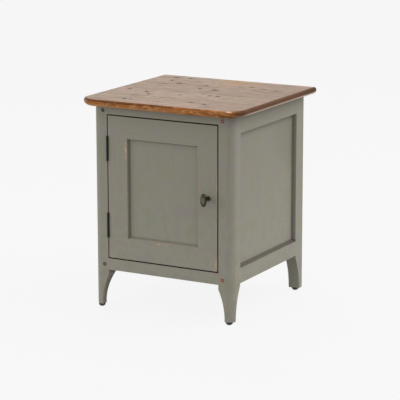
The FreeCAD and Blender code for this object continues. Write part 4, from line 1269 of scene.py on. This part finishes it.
@dataclass
class Door(SubAssembly):
    """The framed door with its bead and panel."""

    hinge_side_rub: Patch = Patch((-0.1054, -0.1932, 0.420), (0.0062, 0.004, 0.040), 0.9)
    lock_stile_rubs: tuple[Patch, ...] = (
        Patch((0.1585, -0.191, 0.350), (0.0030, 0.006, 0.085), 0.8),
        Patch((0.1550, -0.191, 0.152), (0.0080, 0.006, 0.022), 0.35),
        Patch((0.1060, -0.191, 0.346), (0.0026, 0.004, 0.034), 0.5),
    )
    rail_rubs: tuple[Patch, ...] = (
        Patch((-0.012, -0.191, 0.186), (0.007, 0.004, 0.0040), 0.7),
        Patch((0.010, -0.191, 0.188), (0.016, 0.004, 0.0026), 0.5),
        Patch((0.100, -0.191, 0.187), (0.006, 0.004, 0.0030), 0.3),
    )

    def build(self) -> None:
        """Dresses the frame, then the bead and the panel."""
        self.framing()
        bead = Box.of("door_bead")
        # painted shade in the bead's hollow
        groove = Hollow(
            bead,
            Facing.FRONT,
            start=0.6,
            end=0.3,
            bottom=0.35,
            rises=(0.0045, 0.0045),
            full=0.0056,
            width=0.0066,
        )
        self.dress(WornPaint(Along.Z, hollow=groove, edge_wear=0.2), "door_bead")
        # painted shade round the panel's sunk edges
        sunk = Hollow(
            bead, Facing.FRONT, start=0.55, end=0.2, bottom=0.5, full=0.004, width=0.0075
        )
        self.dress(WornPaint(Along.Z, hollow=sunk, edge_wear=0), "door_panel")

    def framing(self) -> None:
        """Dresses the stiles and the rails, dark in the gap round them with bare edges and painted
        shade.
        """
        stiles = Box.of("door_hinge_stile", "door_lock_stile")
        low, high = stiles.low, stiles.high
        opening = Box(
            (low[0] - DOOR_GAP, low[1], low[2] - DOOR_GAP),
            (high[0] + DOOR_GAP, high[1], high[2] + DOOR_GAP),
        )
        slit = Slit(opening)
        hinge_paint = WornPaint(
            Along.Z, slit=slit.faint(), edge_wear=0.2, rubs=(self.hinge_side_rub,)
        )
        self.dress(hinge_paint, "door_hinge_stile")
        lock_paint = WornPaint(Along.Z, slit=slit, edge_wear=0.12, rubs=self.lock_stile_rubs)
        self.dress(lock_paint, "door_lock_stile")
        self.dress(WornPaint(Along.X, slit=slit, edge_wear=0.12), "door_top_rail")
        bottom_paint = WornPaint(Along.X, slit=slit, edge_wear=0.3, rubs=self.rail_rubs)
        self.dress(bottom_paint, "door_bottom_rail")


@dataclass
class Knob(SubAssembly):
    """The oval knob: a turned stem and a head that is an upright oval."""

    slot: str = "dark_bronze"
    head_power: float = 2.3
    head_slim: float = 0.9
    rows: int = 56
    around: int = 64
    stem_rows: int = 18
    foot_radius: float = 0.0062
    foot_rim: float = 0.0008
    neck_radius: float = 0.0034
    neck_reach: float = 0.012
    # how far the bright place on the head moves to the right, towards the camera
    sheen_shift: float = 0.4
    polish_and_sheen_share: float = 0.8

    def build(self) -> None:
        """Makes the head and the stem over the frame's knob, and dresses the bolt."""
        box = Box.of("knob")
        half = (box.half[0] * self.head_slim, box.half[0], box.half[2])
        middle = (box.centre[0], box.low[1] + box.half[0], box.centre[2])
        # bright place on the head's front, towards the camera: hand polish and painted sheen
        sheen_centre = (middle[0] + self.sheen_shift * half[0], box.low[1], middle[2])
        polish_and_sheen = Patch(sheen_centre, (half[0], half[0], half[2]), self.polish_and_sheen_share, grit=0.72)
        sheened_bronze = replace(BRONZE, polish_and_sheen=polish_and_sheen)
        self.add("knob_head", self.head(half, middle), Body.DOOR, self.slot, sheened_bronze, "knob")
        foot = (box.centre[0], box.high[1], box.centre[2])
        self.add("knob_stem", self.stem(foot, middle), Body.DOOR, self.slot, BRONZE)
        self.dress(STEEL, "knob_bolt")

    def head(self, half: Place, middle: Place) -> np.ndarray:
        """The head's surface.

        It is a superellipsoid of revolution about the vertical: at the angle v from the equator
        its radius is half width times cos(v) to the power 2/p and its height is half height
        times sin(v) to the power 2/p, with p the head's power.

        Args:
            half: Half sizes along X, Y and Z.
            middle: Middle of the head.

        Returns:
            Points, rows by around by 3.
        """
        v = np.linspace(-np.pi / 2, np.pi / 2, self.rows)[:, None]
        u = np.linspace(0, 2 * np.pi, self.around, endpoint=False)[None, :]
        power = 2 / self.head_power
        ring = np.abs(np.cos(v)) ** power
        rise = np.sign(np.sin(v)) * np.abs(np.sin(v)) ** power
        grid = [ring * np.cos(u), ring * np.sin(u), rise * np.ones_like(u)]
        return np.stack(grid, axis=-1) * np.array(half) + np.array(middle)

    def stem(self, foot: Place, head: Place) -> np.ndarray:
        """The stem's surface.

        The radius over the reach t from the door is the foot's radius up to the rim, then a
        half cosine down to the neck's radius, and it stays so into the head.

        Args:
            foot: Middle of the stem's foot, on the face of the door.
            head: Middle of the head.

        Returns:
            Points, rows by around by 3.
        """
        end = foot[1] - head[1]
        curve = np.linspace(self.foot_rim, self.neck_reach, self.stem_rows)
        reach = np.concatenate([[0, 0], curve, [end, end]])
        fall = np.clip((reach - self.foot_rim) / (self.neck_reach - self.foot_rim), 0, 1)
        blend = (1 + np.cos(np.pi * fall)) / 2
        radius = self.neck_radius + (self.foot_radius - self.neck_radius) * blend
        radius[0] = radius[-1] = 0
        u = np.linspace(0, 2 * np.pi, self.around, endpoint=False)
        radius, reach = radius[:, None], reach[:, None]
        grid = [radius * np.cos(u), -reach * np.ones_like(u), radius * np.sin(u)]
        return np.stack(grid, axis=-1) + np.array(foot)


@dataclass
class Hardware(SubAssembly):
    """Hinges, catch, strike and their screws."""

    def build(self) -> None:
        """Dresses the metal and plastic between the carcass and the door."""
        for level in ("upper", "lower"):
            leaves = [f"{level}_hinge_{part}" for part in ("frame_leaf", "door_leaf", "pin")]
            self.dress(HINGE_BRONZE, *leaves)
        self.dress(STEEL, "hinge_frame_screws", "hinge_door_screws", "strike_plate", "strike_screw")
        self.dress(CASE_PLASTIC, "catch_case")
        self.dress(MAGNET, "catch_magnet")
        self.dress(STEEL, "catch_screws")


@dataclass
class Interior(SubAssembly):
    """What is inside and under the carcass."""

    def build(self) -> None:
        """Dresses the floor, the shelf, their cleats, the buttons, the screws and the feet."""
        self.dress(BareWood(Along.X), "floor_board", "shelf")
        for side in ("left", "right"):
            self.dress(BareWood(Along.Y), f"{side}_floor_cleat", f"{side}_shelf_cleat")
            self.dress(PAD_PLASTIC, f"front_{side}_foot_pad", f"back_{side}_foot_pad")
        self.dress(BareWood(Along.X), "top_buttons")
        self.dress(STEEL, "cleat_screws", "top_screws")


# ---------------------------------------------------------------- studio


@dataclass(frozen=True)
class Lamp:
    """A soft square lamp that faces the object.

    At a level of 1 a surface that faces it has the colour that is written for it.
    """

    name: str
    azimuth: float
    elevation: float
    distance: float
    side: float
    level: float

    def build(self, aim: Place) -> None:
        """Places the lamp and turns it to the object.

        Args:
            aim: The point that it faces.
        """
        towards = direction(self.azimuth, self.elevation)
        light = bpy.data.lights.new(self.name, "AREA")
        light.size = self.side
        light.energy = self.level * math.pi**2 * self.distance**2
        lamp = bpy.data.objects.new(self.name, light)
        lamp.location = Vector(aim) + towards * self.distance
        lamp.rotation_mode = "QUATERNION"
        lamp.rotation_quaternion = (-towards).to_track_quat("-Z", "Y")
        bpy.context.scene.collection.objects.link(lamp)
        log.info("Lamp %s: level %.2f", self.name, self.level)


@dataclass(frozen=True)
class Camera:
    """The camera, on a line through a point near the middle of the cupboard.

    aside and above are how far the camera is from that line, and roll turns the picture.
    """

    azimuth: float = 28.79
    elevation: float = 12.66
    roll: float = -0.10
    distance: float = 4.929
    focal_pixels: float = 1882.2
    aim: Place = (0, 0.008, 0.275)
    aside: float = -0.00015
    above: float = -0.01066
    sensor: float = 36

    def build(self) -> None:
        """Places the camera and makes it the scene's."""
        back = direction(self.azimuth, self.elevation)
        turn, roll = math.radians(self.azimuth), math.radians(self.roll)
        level = Vector((math.cos(turn), math.sin(turn), 0))
        upright = back.cross(level)
        right = level * math.cos(roll) + upright * math.sin(roll)
        up = upright * math.cos(roll) - level * math.sin(roll)
        data = bpy.data.cameras.new("camera")
        data.sensor_width = self.sensor
        data.lens = self.focal_pixels * self.sensor / PICTURE_SIDE
        camera = bpy.data.objects.new("camera", data)
        place = Vector(self.aim) + right * self.aside + up * self.above + back * self.distance
        axes = Matrix((right, up, back)).transposed().to_4x4()
        camera.matrix_world = Matrix.Translation(place) @ axes
        bpy.context.scene.collection.objects.link(camera)
        bpy.context.scene.camera = camera
        log.info("Camera: lens %.1f mm, %.2f m away", data.lens, self.distance)


@dataclass(frozen=True)
class Studio:
    """Pale floor, soft lamps, a bright world and the camera."""

    floor_side: float = 80
    floor_colour: Colour = (0.35, 0.35, 0.35)
    floor_white: float = 1.0
    floor_glow: float = 0.885
    white: float = 0.93
    ambient: float = 0.85
    aim: Place = (0, 0, 0.3)
    lamps: tuple[Lamp, ...] = (
        Lamp("right", 115, 44, 3.2, 2.2, 0.50),
        Lamp("left", -50, 10, 2.4, 1.6, 0.22),
        Lamp("back", 213, 58, 2.8, 0.5, 0.18),
        Lamp("front", 50, 46, 3.0, 0.4, 0.05),
    )

    def build(self) -> None:
        """Builds the floor, the lamps, the world and the camera."""
        self.floor()
        for lamp in self.lamps:
            lamp.build(self.aim)
        self.world()
        Camera().build()
        bpy.context.scene.view_settings.view_transform = "Standard"

    def floor(self) -> None:
        """A large plane on the ground that looks nearly white and keeps the object's shadow."""
        half = self.floor_side / 2
        corners = [(-half, -half, 0), (half, -half, 0), (half, half, 0), (-half, half, 0)]
        mesh = bpy.data.meshes.new("floor")
        mesh.from_pydata(corners, [], [(0, 1, 2, 3)])
        floor = bpy.data.objects.new("floor", mesh)
        bpy.context.scene.collection.objects.link(floor)
        material = bpy.data.materials.new("floor")
        graph = Graph(material)
        diffuse = graph.node("BsdfDiffuse", None, {"Color": (*self.floor_colour, 1)})
        glow = graph.node("Emission", None, {"Strength": self.floor_white})
        share = self.seen(graph) * self.floor_glow
        graph.end(graph.node("MixShader", None, {0: share, 1: diffuse, 2: glow}))
        mesh.materials.append(material)
        log.info("Studio: floor, %.0f m along each side", self.floor_side)

    def world(self) -> None:
        """A world that looks white and lights the object a little."""
        world = bpy.data.worlds.new("world")
        graph = Graph(world)
        levels = {"Value": self.seen(graph), "To Min": self.ambient, "To Max": self.white}
        level = graph.node("MapRange", None, levels)
        sky = graph.node("Background", None, {"Color": WHITE, "Strength": level})
        graph.end(sky, kind="OutputWorld")
        bpy.context.scene.world = world
        log.info("Studio: world, %.2f seen and %.2f as light", self.white, self.ambient)

    @staticmethod
    def seen(graph: Graph) -> Signal:
        """Tells what the camera sees from what only gives light.

        Args:
            graph: The graph that the nodes go into.

        Returns:
            1 where the camera sees the surface itself or in metal or glass, and 0 elsewhere.
        """
        paths = graph.new("LightPath")
        camera, glossy, through = (
            Signal(graph, paths.outputs[f"Is {ray} Ray"])
            for ray in ("Camera", "Glossy", "Transmission")
        )
        return camera.at_least(glossy).at_least(through)


# ---------------------------------------------------------------- whole


def main() -> None:
    """Builds the sub-assemblies in order."""
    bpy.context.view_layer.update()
    for assembly in (TableTop(), Carcass(), Door(), Knob(), Hardware(), Interior(), Studio()):
        log.info("building %s", type(assembly).__name__)
        assembly.build()
    bpy.context.view_layer.update()


if __name__ == "__main__":
    logging.basicConfig(level=logging.INFO, format="%(message)s")
    main()
